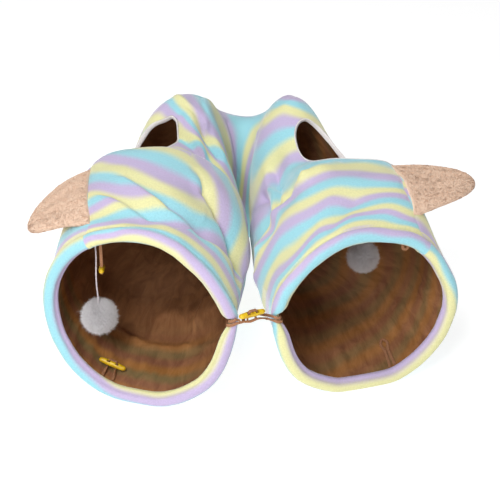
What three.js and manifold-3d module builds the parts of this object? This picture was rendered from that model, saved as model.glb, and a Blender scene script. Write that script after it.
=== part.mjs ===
// A U-shaped plush pet tunnel, lying on the floor with its two mouths side by side at the front.
// Millimetres, +Z up, +Y towards the bend at the back. The origin is on the floor, under the middle of the
// box round the tube and its ears.
import * as THREE from "three";
import { mergeVertices } from "three/addons/utils/BufferGeometryUtils.js";
import Module from "manifold-3d";

const wasm = await Module();
wasm.setup();

// Driving dimensions
const PLUSH = 3; // plush cloth with its short pile
const LINING = 1.2; // crinkle lining
const CLEAR = 0.4; // gap between pieces that touch
const LINING_GAP = 0.95; // gap between the plush and its lining
const LINING_BACK = 2; // gap between a hem's back and the lining's edge
const HEM_RADIUS = 10; // cloth rolled over the hoop at each mouth
const HEM_PROUD = 2; // how far the rolled hem stands out of the wall
const HEM_TURNS = [110, 65, 20, -25, -70, -115, -160]; // degrees round the hem, from its outer side inwards
const FLOOR_SINK = 6; // how much of a section's belly the floor flattens
const ROW_STEP = 55; // nominal length of cloth from one section row to the next
const ROLL_RADIUS = 120; // nominal radius that turns degrees round the tube into millimetres of cloth
const WAIST_SHARE = 0.35; // share of a section's half height over which its foot's lean turns into its top's
const INSIDE = PLUSH + LINING_GAP + LINING; // depth of the lining's bare face under the plush's outer face
const EAR = { thick: 13, edge: 0.6, taper: 0.45, thin: 2.2, end: 0.985, bury: 30, stations: 9, sides: 14 };
const BINDING = { radius: 2.6, sides: 6 };
const POMPOM = { core: 0.8, locks: 52, lockRadius: 0.24, lockRoot: 0.5, bareTop: 0.9 };
const STRING = { radius: 1.1, sides: 8, steps: 8 };
const TAPE = { width: 4, thick: 1.4, rest: 0.9, hemRest: 1.8 };
const TOGGLE = { length: 38, radius: 4, endRadius: 3.1, rounding: 1.2, flatShare: 0.3, sides: 12 };
const SLOT = { at: 6, width: 5.8, thick: 4.8 }; // the two slots of a toggle

const TOGGLE_ROUGHNESS = 0.4;
const COLOURS = {
  plush: "#c9d3dc",
  lining: "#6b4426",
  ear: "#dfba9b",
  binding: "#f3efec",
  pompom: "#f4f1ec",
  string: "#e9e2e6",
  toggle: "#dcae22",
  tape: "#7a4a30",
};

// Sections of the tube, from the left mouth round the bend to the right mouth.
// x, y: middle of the section. face: plan direction of its outer side, in degrees. lean, foot: how far its top
// and its lower half tip along the tube, in degrees. out, inn: half widths to the outer and inner side. top:
// height. mid: height of the widest place. tip: how pointed the upper inner side is, 1 for round. lift: how far
// that point rises.
const SECTION_COLUMNS = ["x", "y", "face", "lean", "foot", "out", "inn", "top", "mid", "tip", "lift"];
const SECTIONS = [
  [-145, -232, 163, 12, 12, 133, 128, 230, 124, 1.75, 16],
  [-142, -177, 166, 9, 9, 129, 127.5, 237, 124, 1.45, 12],
  [-139, -117, 170, 6, 6, 124, 131, 245, 124, 1.2, 6],
  [-135, -57, 174, 2, 2, 121, 129, 250, 124, 1.05, 0],
  [-129, 0, 177, -2, -2, 118, 121, 252, 122, 1, 0],
  [-119, 53, 176, -4, -4, 98, 107, 226, 106, 1, 0],
  [-110, 96, 170, -2, -2, 84, 90, 246, 112, 1, 0],
  [-102, 136, 157, 0, 0, 80, 78, 264, 120, 1, 0],
  [-81, 175, 135, 0, 0, 73, 63, 250, 112, 1, 0],
  [-49, 200, 112, 0, 0, 68, 56, 215, 98, 1, 0],
  [-16, 206, 90, 0, 0, 66, 54, 200, 92, 1, 0],
  [15, 200, 68, 0, 0, 64, 56, 212, 98, 1, 0],
  [40, 175, 45, 0, 0, 58, 60, 248, 112, 1, 0],
  [59, 136, 23, 0, 0, 55, 70, 264, 120, 1, 0],
  [77, 96, 10, 2, 2, 62, 82, 238, 112, 1, 0],
  [98, 50, 5, 4, 4, 82, 102, 214, 106, 1, 0],
  [116, 0, 4, 3, 3, 108, 120, 234, 116, 1, 0],
  [127, -52, 7, 0, 2, 115, 130, 236, 120, 1.05, 0],
  [134, -107, 11, -4, 0, 119, 132, 236, 122, 1.2, 6],
  [139, -162, 14, -8, -2, 126, 126, 229, 122, 1.45, 10],
  [143, -216, 17, -12, -4, 130, 124, 222, 118, 1.4, 16],
];
const LAST_ROW = SECTIONS.length - 1;
const HEM_ROWS = (2 * HEM_RADIUS + 1) / ROW_STEP;

// Creases and ridges of the cloth, each along a line from one place on the tube to another.
// A place is a section row and the degrees round from the outer side over the top.
const FOLD_COLUMNS = ["rowA", "degA", "rowB", "degB", "width", "rise"];
const FOLDS = [
  [1.3, 46, 4.2, 47, 46, 13],
  [16.2, 56, 18.8, 58, 38, 16],
  [17.0, 24, 19.4, 26, 46, -5],
  [0.0, 220, 0.9, 220, 36, 5],
  [19.1, 220, 20.0, 220, 36, 5],
  [1.0, 45, 0.85, 90, 20, -5],
  [0.85, 90, 1.3, 128, 20, -6],
  [1.3, 128, 1.5, 165, 20, -6],
  [2.4, 122, 1.6, 165, 22, -8],
  [3.1, 128, 2.4, 180, 28, 6],
  [6.2, 72, 5.3, 114, 22, -11],
  [5.4, 128, 6.1, 121, 22, -12],
  [6.9, 118, 8.2, 108, 24, 6],
  [14.6, 130, 17.1, 130, 21, -13],
  [15.4, 152, 17.5, 150, 20, -12],
  [16.8, 106, 16.8, 116, 20, 9],
  [17.6, 70, 17.4, 120, 26, 4],
  [18.6, 95, 18.8, 118, 24, -4],
];

// The peek holes, one at each shoulder of the bend: a section row, degrees round, half sizes in both, and how
// far inside the cut edge the middle of the binding lies.
const PEEK_HOLES = {
  left: { row: 5.4, deg: 62.5, halfRows: 1.1, halfDeg: 32, inset: 5.85 },
  right: { row: 15.0, deg: 75, halfRows: 1.35, halfDeg: 31, inset: 4.9 },
};
const PEEK_STEPS = 28;
const PEEK_REACH = 16; // how far a hole's cutter reaches to either side of the plush

// The ears, each sewn into the seam between two places, with its point in space and the rise of its middle.
const EARS = {
  left: { front: [0.7, 56], back: [3.5, 46], point: [-299, -108, 184], arch: 20 },
  right: { front: [19.2, 58], back: [16.4, 58], point: [297, -52, 224], arch: 2 },
};

// The pompoms, each hanging straight down from a place on the lining.
const POMPOMS = {
  left: { row: 0.6, deg: 57.7, drop: 133, radius: 25 },
  right: { row: 17.15, deg: 78, drop: 126, radius: 23 },
};

// The toggle on the left arm's floor: its place, the two places that its length points between, its middle's
// height over the lining, and where its tape's two legs run.
const FLOOR_TOGGLE = { row: 0.93, deg: 291.8, from: [0.84, 301.8], to: [0.91, 280.3], rest: 9.4 };
const FLOOR_LEGS = { degs: [295.4, 291], rows: [0.43, 0.58], middleDeg: 295.4, splay: 0.6, rest: 1.4 };

// The toggle that hangs in the left mouth: where its tape's two legs start, the way it points and its drop.
const TOP_TOGGLE = { legs: [[0.5, 62.2], [0.68, 60.6]], along: [-0.07, 0.95, -0.31], drop: 61 };

// The toggle buttoned into a loop between the mouths: its frame, the directions at which both tapes leave the
// hems, how far its own tape sinks under it, where that tape comes from, and the loop's half width.
const TIE = {
  middle: [-2.5, -269, 151],
  along: [30, 20, -4],
  face: [0, -0.3, 1],
  legDegs: [180.4, 182.8],
  sink: 6,
  approach: [-9, 1, 0.4],
  approachFace: [0, -0.6, -0.8],
  loopHalf: 5.5,
};
// The loop's strand under that toggle: slots along it and half widths across it.
const TIE_LOOP = [[1, 1], [-1.2, 1], [-2.1, 0], [-1.2, -1], [1, -1]];
// A tape's way round a hem: degrees of turn, and degrees that it lies lower there.
const HEM_TAPE = [[-105, 3.2], [-60, 2.4], [-15, 1.2], [25, 0]];
const HEM_TAPE_BEHIND = 0.62; // rows behind the mouth at which such a tape starts

// The loop on the right arm's floor: its direction, its end's row, and rows and half widths in degrees.
const FLOOR_LOOP = { deg: 292, end: 18.32, legs: [[19.5, 1.9], [19.1, 1.4], [18.75, 1.4], [18.5, 2.5]] };

// The loop that hangs in the right mouth: where it starts, its half width, and sides and drops along it.
const TOP_LOOP = { row: 19.55, degs: [63, 59], half: 3.4 };
const TOP_LOOP_DROPS = [[1, 14], [1, 24], [0, 29], [-1, 24], [-1, 14]];

// Section rows and directions at which the tube is built, closer together where the cloth is creased.
const STATIONS = spread([0, 4, 8, 12, 17.5, LAST_ROW], [7, 9, 6, 11, 5]);
const DIRECTIONS = spread([-16, 60, 170, 190, 214, 254, 286, 344], [5, 11, 4, 2, 3, 2, 4]).slice(0, -1);

// Values from the first stop to the last, each stretch between two stops divided into its own count.
function spread(stops, counts) {
  const values = counts.flatMap((count, i) =>
    Array.from({ length: count }, (_, k) => stops[i] + ((stops[i + 1] - stops[i]) * k) / count),
  );
  return [...values, stops.at(-1)];
}

function named(columns, values) {
  return Object.fromEntries(columns.map((column, i) => [column, values[i]]));
}

function vector(values) {
  return new THREE.Vector3(...values);
}

// Smooth value of a section column at any row, by a Catmull-Rom spline through the table.
function sectionValue(column, row) {
  const k = SECTION_COLUMNS.indexOf(column);
  const i = THREE.MathUtils.clamp(Math.floor(row), 0, LAST_ROW - 1);
  const f = row - i;
  const b = SECTIONS[i][k];
  const c = SECTIONS[i + 1][k];
  const a = i > 0 ? SECTIONS[i - 1][k] : 2 * b - c;
  const d = i < LAST_ROW - 1 ? SECTIONS[i + 2][k] : 2 * c - b;
  return 0.5 * (2 * b + (c - a) * f + (2 * a - 5 * b + 4 * c - d) * f * f + (3 * b - a - 3 * c + d) * f ** 3);
}

function sectionAt(row) {
  return named(SECTION_COLUMNS, SECTION_COLUMNS.map((column) => sectionValue(column, row)));
}

// A place on the cloth laid flat, in millimetres, its direction counted the short way round from a given one.
function flatPlace(row, deg, fromDeg) {
  const turned = THREE.MathUtils.euclideanModulo(deg - fromDeg + 180, 360) - 180;
  return new THREE.Vector2(row * ROW_STEP, THREE.MathUtils.degToRad(turned) * ROLL_RADIUS);
}

// How far the folds raise the cloth at a place, each one a soft line that fades out over its width.
function foldRise(row, deg) {
  let rise = 0;
  for (const values of FOLDS) {
    const fold = named(FOLD_COLUMNS, values);
    const place = flatPlace(row, deg, fold.degA);
    const start = flatPlace(fold.rowA, fold.degA, fold.degA);
    const along = flatPlace(fold.rowB, fold.degB, fold.degA).sub(start);
    const share = place.clone().sub(start).dot(along) / along.lengthSq();
    const nearest = start.addScaledVector(along, THREE.MathUtils.clamp(share, 0, 1));
    rise += fold.rise * Math.exp(-((place.distanceTo(nearest) / fold.width) ** 2));
  }
  return rise;
}

// Point of the plush's outer face, at a section row and degrees round from the outer side over the top.
// The rise moves it away from the middle of its section.
function skin(row, deg, rise = 0) {
  const s = sectionAt(row);
  const angle = THREE.MathUtils.degToRad(deg);
  const c = Math.cos(angle);
  const n = Math.sin(angle);
  const point = c < 0 && n > 0 ? 1 + (s.tip - 1) * Math.min(1, -2 * c) : 1;
  let across = c * (c > 0 ? s.out : s.inn);
  let up = Math.sign(n) * Math.abs(n) ** point * (n > 0 ? s.top - s.mid : s.mid + FLOOR_SINK);
  up += s.lift * Math.max(0, -c) ** 3;
  const grown = 1 + rise / Math.hypot(across, up);
  across *= grown;
  up *= grown;
  const face = THREE.MathUtils.degToRad(s.face);
  const above = THREE.MathUtils.smoothstep(n, -WAIST_SHARE, WAIST_SHARE);
  const lean = THREE.MathUtils.degToRad(THREE.MathUtils.lerp(s.foot, s.lean, above));
  const outer = new THREE.Vector3(Math.cos(face), Math.sin(face), 0);
  const ahead = new THREE.Vector3(Math.sin(face), -Math.cos(face), 0);
  const place = new THREE.Vector3(s.x, s.y, s.mid)
    .addScaledVector(outer, across)
    .addScaledVector(ahead, up * Math.sin(lean));
  place.z = Math.max(0, place.z + up * Math.cos(lean));
  return place;
}

// The unfolded skin's outward normal, and its direction along the tube, from places a small step apart.
function skinFrame(row, deg) {
  const rows = 0.1;
  const degs = 3;
  const along = skin(row + rows, deg).sub(skin(row - rows, deg)).normalize();
  const round = skin(row, deg + degs).sub(skin(row, deg - degs)).normalize();
  return { along, normal: round.cross(along).normalize() };
}

// Point at a depth inside the folded skin; a negative depth is outside it.
function wallPoint(row, deg, depth) {
  return skin(row, deg, foldRise(row, deg)).addScaledVector(skinFrame(row, deg).normal, -depth);
}

function wallRing(row, depth) {
  return DIRECTIONS.map((deg) => wallPoint(row, deg, depth));
}

// The neighbours of a value in a rising list, and how far it lies from the first to the second.
function between(list, value) {
  const i = Math.max(1, list.findIndex((stop) => stop >= value));
  return [list[i - 1], list[i], (value - list[i - 1]) / (list[i] - list[i - 1])];
}

// Point at a height over the lining's bare face, which is flat between its rings.
function onLining(row, deg, height) {
  const [rowA, rowB, rowShare] = between(STATIONS, row);
  const [degA, degB, degShare] = between([...DIRECTIONS, DIRECTIONS[0] + 360], deg);
  const [near, far] = [degA, degB].map((d) =>
    wallPoint(rowA, d, INSIDE + height).lerp(wallPoint(rowB, d, INSIDE + height), rowShare),
  );
  return near.lerp(far, degShare);
}

// Point round the rolled hem: turn 90 is its outer side, 0 its front and -90 its inner side.
function hemPoint(atEnd, deg, turn, radius) {
  const row = atEnd ? LAST_ROW - HEM_RADIUS / ROW_STEP : HEM_RADIUS / ROW_STEP;
  const { along, normal } = skinFrame(row, deg);
  const angle = THREE.MathUtils.degToRad(turn);
  const place = wallPoint(row, deg, HEM_RADIUS - HEM_PROUD)
    .addScaledVector(normal, radius * Math.sin(angle))
    .addScaledVector(along, (atEnd ? 1 : -1) * radius * Math.cos(angle));
  place.z = Math.max(0, place.z);
  return place;
}

function hemRings(atEnd) {
  return HEM_TURNS.map((turn) => DIRECTIONS.map((deg) => hemPoint(atEnd, deg, turn, HEM_RADIUS)));
}

function meshSolid(positions, triangles) {
  const vertProperties = new Float32Array(positions);
  const triVerts = new Uint32Array(triangles);
  return new wasm.Manifold(new wasm.Mesh({ numProp: 3, vertProperties, triVerts }));
}

// Solid from rings of points, each joined to the next; the last joins the first, or both ends are capped.
// From the ring that crossedFrom gives, the quads are halved the other way, so that the rings on a wall's
// inner face, which run back, have the same diagonals as those on its outer face.
function ringSolid(rings, { capped = false, crossedFrom = Infinity } = {}) {
  const count = rings[0].length;
  const points = rings.flat();
  const faces = [];
  for (let r = 0; r < rings.length - (capped ? 1 : 0); r++)
    for (let j = 0; j < count; j++) {
      const [a, b] = [j, (j + 1) % count].map((k) => r * count + k);
      const [c, d] = [j, (j + 1) % count].map((k) => ((r + 1) % rings.length) * count + k);
      faces.push(...(r < crossedFrom ? [a, b, c, b, d, c] : [a, b, d, a, d, c]));
    }
  for (const ring of capped ? [0, rings.length - 1] : []) {
    const middle = points.length;
    points.push(rings[ring].reduce((sum, p) => sum.addScaledVector(p, 1 / count), new THREE.Vector3()));
    for (let j = 0; j < count; j++) {
      const edge = [ring * count + j, ring * count + ((j + 1) % count)];
      faces.push(...(ring === 0 ? edge.reverse() : edge), middle);
    }
  }
  return meshSolid(points.flatMap((p) => p.toArray()), faces);
}

// Solid from a closed three.js geometry.
function geometrySolid(geometry) {
  const bare = geometry.clone();
  bare.deleteAttribute("normal");
  bare.deleteAttribute("uv");
  const merged = mergeVertices(bare, 1e-4);
  return meshSolid(merged.attributes.position.array, merged.index.array);
}

function addPiece(name, solid, colour, roughness = 0.95) {
  const made = solid.getMesh();
  const geometry = new THREE.BufferGeometry()
    .setAttribute("position", new THREE.BufferAttribute(new Float32Array(made.vertProperties), 3))
    .setIndex(new THREE.BufferAttribute(new Uint32Array(made.triVerts), 1));
  geometry.computeVertexNormals();
  const material = new THREE.MeshStandardMaterial({ color: colour, roughness, metalness: 0 });
  const mesh = new THREE.Mesh(geometry, material);
  mesh.name = name;
  tunnel.add(mesh);
}

// Outline of a peek hole on the cloth, as section rows and degrees, drawn in by the inset in millimetres.
function peekOutline(side, inset, share = 1) {
  const hole = PEEK_HOLES[side];
  const halfRows = share * (hole.halfRows - inset / ROW_STEP);
  const halfDeg = share * (hole.halfDeg - THREE.MathUtils.radToDeg(inset / ROLL_RADIUS));
  return Array.from({ length: PEEK_STEPS }, (_, k) => {
    const angle = (2 * Math.PI * k) / PEEK_STEPS;
    return [hole.row + halfRows * Math.cos(angle), hole.deg + halfDeg * Math.sin(angle)];
  });
}

// Plug that cuts a peek hole, its two ends domed like the cloth.
function peekCutter(side) {
  const layers = [[0.5, -PEEK_REACH], [1, -PEEK_REACH], [1, PEEK_REACH], [0.5, PEEK_REACH]];
  const rings = layers.map(([share, depth]) =>
    peekOutline(side, 0, share).map(([row, deg]) => wallPoint(row, deg, depth)),
  );
  return ringSolid(rings, { capped: true });
}

function cutPeekHoles(solid) {
  return solid.subtract(peekCutter("left")).subtract(peekCutter("right"));
}

// Rows of the wall's rings, from the given distance behind one mouth to the same behind the other.
function rowsBetween(start) {
  return [start, ...STATIONS.slice(1, -1), LAST_ROW - start];
}

// Outer plush: the wall, with a hem rolled at each mouth and the two peek holes cut out.
function plushTube() {
  const rows = rowsBetween(HEM_ROWS);
  const outer = rows.map((row) => wallRing(row, 0));
  const inner = rows.map((row) => wallRing(row, PLUSH)).reverse();
  const rings = [...outer, ...hemRings(true), ...inner, ...hemRings(false).reverse()];
  return cutPeekHoles(ringSolid(rings, { crossedFrom: outer.length }));
}

// Crinkle lining inside the plush, from one rolled hem to the other, with the same peek holes.
function liningTube() {
  const rows = rowsBetween(HEM_ROWS + LINING_BACK / ROW_STEP);
  const outer = rows.map((row) => wallRing(row, PLUSH + LINING_GAP));
  const inner = rows.map((row) => wallRing(row, INSIDE)).reverse();
  return cutPeekHoles(ringSolid([...outer, ...inner], { crossedFrom: outer.length }));
}

// The whole space that the tube's outer face encloses, grown by the gap, to trim what is sewn onto it.
function tubeSpace() {
  return ringSolid(rowsBetween(HEM_ROWS).map((row) => wallRing(row, -CLEAR)), { capped: true });
}

// White binding round the edge of a peek hole.
function peekBinding(side) {
  const middle = wallPoint(PEEK_HOLES[side].row, PEEK_HOLES[side].deg, 0);
  const rings = peekOutline(side, PEEK_HOLES[side].inset).map(([row, deg]) => {
    const place = wallPoint(row, deg, INSIDE / 2);
    const { normal } = skinFrame(row, deg);
    const outward = place.clone().sub(middle);
    outward.addScaledVector(normal, -outward.dot(normal)).normalize();
    return Array.from({ length: BINDING.sides }, (_, k) => {
      const angle = (2 * Math.PI * k) / BINDING.sides;
      return place
        .clone()
        .addScaledVector(outward, BINDING.radius * Math.cos(angle))
        .addScaledVector(normal, BINDING.radius * Math.sin(angle));
    });
  });
  return ringSolid(rings);
}

// Ear: a soft pointed flap, wide at its root in the seam, trimmed to the tube there.
function ear(side) {
  const { front, back, point, arch } = EARS[side];
  const rootFront = wallPoint(...front, 0);
  const rootBack = wallPoint(...back, 0);
  const root = rootFront.clone().lerp(rootBack, 0.5);
  const across = rootBack.clone().sub(rootFront).multiplyScalar(0.5);
  const tip = vector(point);
  const bend = root.clone().lerp(tip, 0.5).add(new THREE.Vector3(0, 0, arch));
  const line = new THREE.QuadraticBezierCurve3(root, bend, tip);
  const startAlong = line.getTangent(0);
  const rings = Array.from({ length: EAR.stations + 1 }, (_, i) => {
    const share = Math.min(Math.max(0, i - 1) / (EAR.stations - 1), EAR.end);
    const middle = line.getPoint(share);
    if (i === 0) middle.addScaledVector(startAlong, -EAR.bury);
    const wide = across.clone().multiplyScalar((1 - share) ** EAR.taper);
    const raised = wide.clone().cross(line.getTangent(share)).normalize();
    const thick = (EAR.thick / 2) * Math.min(1, EAR.thin * (1 - share) ** EAR.taper);
    return Array.from({ length: EAR.sides }, (_, k) => {
      const angle = (2 * Math.PI * k) / EAR.sides;
      const rounded = Math.sign(Math.sin(angle)) * Math.abs(Math.sin(angle)) ** EAR.edge;
      return middle.clone().addScaledVector(wide, Math.cos(angle)).addScaledVector(raised, -thick * rounded);
    });
  });
  return ringSolid(rings, { capped: true }).subtract(tubeSpace());
}

// Pompom: a yarn core with tapered locks standing out of it, but for a bare spot where its string goes in.
function pompom(centre, radius) {
  const turn = Math.PI * (3 - Math.sqrt(5));
  const length = 1 - POMPOM.lockRoot;
  let ball = geometrySolid(new THREE.IcosahedronGeometry(radius * POMPOM.core, 1));
  for (let k = 0; k < POMPOM.locks; k++) {
    const z = POMPOM.bareTop - ((1 + POMPOM.bareTop) * (k + 0.5)) / POMPOM.locks;
    const flat = Math.sqrt(1 - z * z);
    const way = new THREE.Vector3(flat * Math.cos(k * turn), flat * Math.sin(k * turn), z);
    const lock = new THREE.ConeGeometry(radius * POMPOM.lockRadius, radius * length, 3);
    lock.translate(0, radius * (POMPOM.lockRoot + length / 2), 0);
    lock.applyQuaternion(new THREE.Quaternion().setFromUnitVectors(new THREE.Vector3(0, 1, 0), way));
    ball = ball.add(geometrySolid(lock));
  }
  return ball.translate(centre.toArray());
}

// Round string along a curve.
function string(points) {
  const section = new THREE.Shape().absarc(0, 0, STRING.radius, 0, 2 * Math.PI);
  const extrudePath = new THREE.CatmullRomCurve3(points);
  const settings = { steps: STRING.steps, curveSegments: STRING.sides / 2, extrudePath };
  return geometrySolid(new THREE.ExtrudeGeometry(section, settings));
}

function addPompomOnString(side) {
  const { row, deg, drop, radius } = POMPOMS[side];
  const slope = Math.sqrt(1 - skinFrame(row, deg).normal.z ** 2);
  const top = onLining(row, deg, CLEAR + STRING.radius * slope);
  const centre = top.clone().setZ(top.z - drop);
  const end = centre.clone().setZ(centre.z + radius * POMPOM.core + CLEAR);
  addPiece(`pompom_${side}`, pompom(centre, radius), COLOURS.pompom);
  addPiece(`pompom_string_${side}`, string([top, top.clone().lerp(end, 0.5), end]), COLOURS.string);
}

// Flat tape along a path of places, each a point and the direction that the tape's flat side looks there.
function tape(places, steps) {
  const path = new THREE.CatmullRomCurve3(places.map((place) => place.at));
  const faces = new THREE.CatmullRomCurve3(places.map((place) => place.face));
  const rings = Array.from({ length: steps + 1 }, (_, i) => {
    const middle = path.getPoint(i / steps);
    const along = path.getTangent(i / steps);
    const across = along.clone().cross(faces.getPoint(i / steps)).setLength(TAPE.width / 2);
    const raised = across.clone().cross(along).setLength(TAPE.thick / 2);
    return [[1, 1], [1, -1], [-1, -1], [-1, 1]].map(([w, h]) =>
      middle.clone().addScaledVector(across, w).addScaledVector(raised, h),
    );
  });
  return ringSolid(rings, { capped: true });
}

// Place of a tape that lies flat on the lining, looking away from it.
function tapeOnLining(row, deg, rest = TAPE.rest) {
  const face = skinFrame(row, deg).normal.negate();
  return { at: onLining(row, deg, rest + TAPE.thick / 2), face };
}

// Places of a tape that comes from the lining behind a hem and rises as it bends round the hem to its front.
function tapeRoundHem(atEnd, deg) {
  const behind = atEnd ? LAST_ROW - HEM_TAPE_BEHIND : HEM_TAPE_BEHIND;
  const radius = HEM_RADIUS + TAPE.hemRest + TAPE.thick / 2;
  const bends = HEM_TAPE.map(([turn, lower]) => {
    const at = hemPoint(atEnd, deg + lower, turn, radius);
    return { at, face: at.clone().sub(hemPoint(atEnd, deg + lower, turn, 0)).normalize() };
  });
  return [tapeOnLining(behind, deg + HEM_TAPE[0][1], 2 * TAPE.hemRest), ...bends];
}

// Bar toggle with two slots: its middle, the direction of its length and the side that its tape crosses.
function toggle({ middle, along, face }) {
  const half = TOGGLE.length / 2;
  const profile = [
    [0, -half],
    [TOGGLE.endRadius * 0.7, -half],
    [TOGGLE.endRadius, TOGGLE.rounding - half],
    [TOGGLE.radius, -half * TOGGLE.flatShare],
    [TOGGLE.radius, half * TOGGLE.flatShare],
    [TOGGLE.endRadius, half - TOGGLE.rounding],
    [TOGGLE.endRadius * 0.7, half],
    [0, half],
  ].map(([x, y]) => new THREE.Vector2(x, y));
  let bar = geometrySolid(new THREE.LatheGeometry(profile, TOGGLE.sides));
  for (const at of [-SLOT.at, SLOT.at]) {
    const slot = new THREE.BoxGeometry(SLOT.width, SLOT.thick, 4 * TOGGLE.radius);
    bar = bar.subtract(geometrySolid(slot.translate(0, at, 0)));
  }
  const turned = new THREE.Matrix4().makeBasis(along.clone().cross(face), along, face).setPosition(middle);
  return bar.transform(turned.toArray());
}

// Where a tape goes through a toggle: in by one slot, over its face and out by the other. A stop is a place
// along the toggle, a height over its middle, and how far the tape's flat side looks along it and off it.
function throughToggle({ middle, along, face }) {
  const over = TOGGLE.radius + TAPE.thick / 2 + TAPE.rest;
  const under = [1, -TOGGLE.radius, 1, 0];
  const inside = [1, 1, 1, 0];
  const shoulder = [0.8, over - 0.2, 0.32, 0.2];
  const stops = [
    ...[under, inside, shoulder].map(([side, height, tilt, level]) => [-side, height, -tilt, level]),
    [0, over, 0, 1],
    ...[shoulder, inside, under],
  ];
  return stops.map(([side, height, tilt, level]) => ({
    at: middle.clone().addScaledVector(along, side * SLOT.at).addScaledVector(face, height),
    face: along.clone().multiplyScalar(tilt).addScaledVector(face, level),
  }));
}

// A toggle's frame, its face squared to its length.
function toggleFrame(middle, along, face) {
  const length = along.clone().normalize();
  return { middle, along: length, face: face.clone().addScaledVector(length, -face.dot(length)).normalize() };
}

const UP = new THREE.Vector3(0, 0, 1);
const DOWN = new THREE.Vector3(0, 0, -1);

// Toggle that lies on the lining's lower side, its tape's two legs running to it from behind the hem.
function addFloorToggle() {
  const { row, deg, from, to, rest } = FLOOR_TOGGLE;
  const length = onLining(...to, rest).sub(onLining(...from, rest));
  const frame = toggleFrame(onLining(row, deg, rest), length, skinFrame(row, deg).normal.negate());
  const [legA, legB] = FLOOR_LEGS.degs.map((legDeg) => {
    const splayed = legDeg + (legDeg - FLOOR_LEGS.middleDeg) * FLOOR_LEGS.splay;
    const [start, end] = FLOOR_LEGS.rows;
    return [tapeOnLining(start, legDeg), tapeOnLining(end, splayed, FLOOR_LEGS.rest)];
  });
  const places = [...legA, ...throughToggle(frame), ...legB.reverse()];
  addPiece("toggle_floor", toggle(frame), COLOURS.toggle, TOGGLE_ROUGHNESS);
  addPiece("toggle_tape_floor", tape(places, 36), COLOURS.tape);
}

// Toggle that hangs end on under the top of the left mouth.
function addTopToggle() {
  const [frontAt, backAt] = TOP_TOGGLE.legs.map((place) => onLining(...place, CLEAR + TAPE.thick / 2));
  const middle = frontAt.clone().lerp(backAt, 0.5);
  middle.z -= TOP_TOGGLE.drop;
  const frame = toggleFrame(middle, vector(TOP_TOGGLE.along), DOWN);
  const front = { at: frontAt, face: frame.along.clone().negate() };
  const back = { at: backAt, face: frame.along };
  addPiece("toggle_top", toggle(frame), COLOURS.toggle, TOGGLE_ROUGHNESS);
  addPiece("toggle_tape_top", tape([front, ...throughToggle(frame), back], 30), COLOURS.tape);
}

// Toggle buttoned into the loop of the other mouth, where the two mouths meet at the front.
function addTie() {
  const frame = toggleFrame(vector(TIE.middle), vector(TIE.along), vector(TIE.face));
  const [upperLeg, lowerLeg] = TIE.legDegs.map((deg) => tapeRoundHem(false, deg));
  const through = throughToggle(frame);
  const [nearBend, farBend] = [through[0], through.at(-1)].map(({ at, face }) => ({
    at: at.clone().setZ(frame.middle.z - TOGGLE.radius - TIE.sink),
    face: face.clone().multiplyScalar(0.6).add(DOWN),
  }));
  const approach = { at: nearBend.at.clone().add(vector(TIE.approach)), face: vector(TIE.approachFace) };
  const toggleTape = [...upperLeg, approach, nearBend, ...through, farBend, ...lowerLeg.reverse()];
  addPiece("toggle_tie", toggle(frame), COLOURS.toggle, TOGGLE_ROUGHNESS);
  addPiece("toggle_tape_tie", tape(toggleTape, 50), COLOURS.tape);
  const level = frame.middle.z - TOGGLE.radius - CLEAR - TAPE.thick;
  const aside = frame.along.clone().cross(UP).setLength(TIE.loopHalf);
  const strand = TIE_LOOP.map(([along, across]) => ({
    at: frame.middle
      .clone()
      .addScaledVector(frame.along, along * SLOT.at)
      .addScaledVector(aside, -across)
      .setZ(level),
    face: UP,
  }));
  const [upper, lower] = TIE.legDegs.map((deg) => tapeRoundHem(true, deg));
  addPiece("loop_tie", tape([...upper, ...strand, ...lower.reverse()], 46), COLOURS.tape);
}

// Loop that lies on the lining's lower side behind the right hem and opens into an eye.
function addFloorLoop() {
  const { deg, end, legs } = FLOOR_LOOP;
  const places = [
    ...legs.map(([row, side]) => tapeOnLining(row, deg + side)),
    tapeOnLining(end, deg),
    ...legs.map(([row, side]) => tapeOnLining(row, deg - side)).reverse(),
  ];
  addPiece("loop_floor", tape(places, 28), COLOURS.tape);
}

// Loop that hangs from the lining just behind the top of the right hem.
function addTopLoop() {
  const [front, back] = TOP_LOOP.degs.map((deg) => onLining(TOP_LOOP.row, deg, TAPE.rest + TAPE.thick));
  const middle = front.clone().lerp(back, 0.5);
  const sideways = front.clone().sub(back).setZ(0).setLength(TOP_LOOP.half);
  const places = TOP_LOOP_DROPS.map(([side, drop]) =>
    middle.clone().addScaledVector(sideways, side).addScaledVector(DOWN, drop),
  );
  const face = vector([0, -1, 0]);
  addPiece("loop_top", tape([front, ...places, back].map((at) => ({ at, face })), 24), COLOURS.tape);
}

const tunnel = new THREE.Group();
addPiece("plush_tube", plushTube(), COLOURS.plush);
addPiece("lining", liningTube(), COLOURS.lining);
for (const side of ["left", "right"]) {
  addPiece(`peek_binding_${side}`, peekBinding(side), COLOURS.binding);
  addPiece(`ear_${side}`, ear(side), COLOURS.ear);
  addPompomOnString(side);
}
addFloorToggle();
addTopToggle();
addTie();
addFloorLoop();
addTopLoop();

export default tunnel;
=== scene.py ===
"""A U-shaped plush pet tunnel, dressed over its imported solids: striped plush with a crinkle lining, two ears,
two pompoms on strings, and toggles and loops on brown tape.

Sizes are millimetres until a mesh is made. A place on the tube is a section row, counted from the left mouth
round the bend to the right mouth, and the degrees round from the outer side over the top.
"""
import logging
from dataclasses import dataclass, field
from enum import Enum
from typing import Any, Sequence

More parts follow.
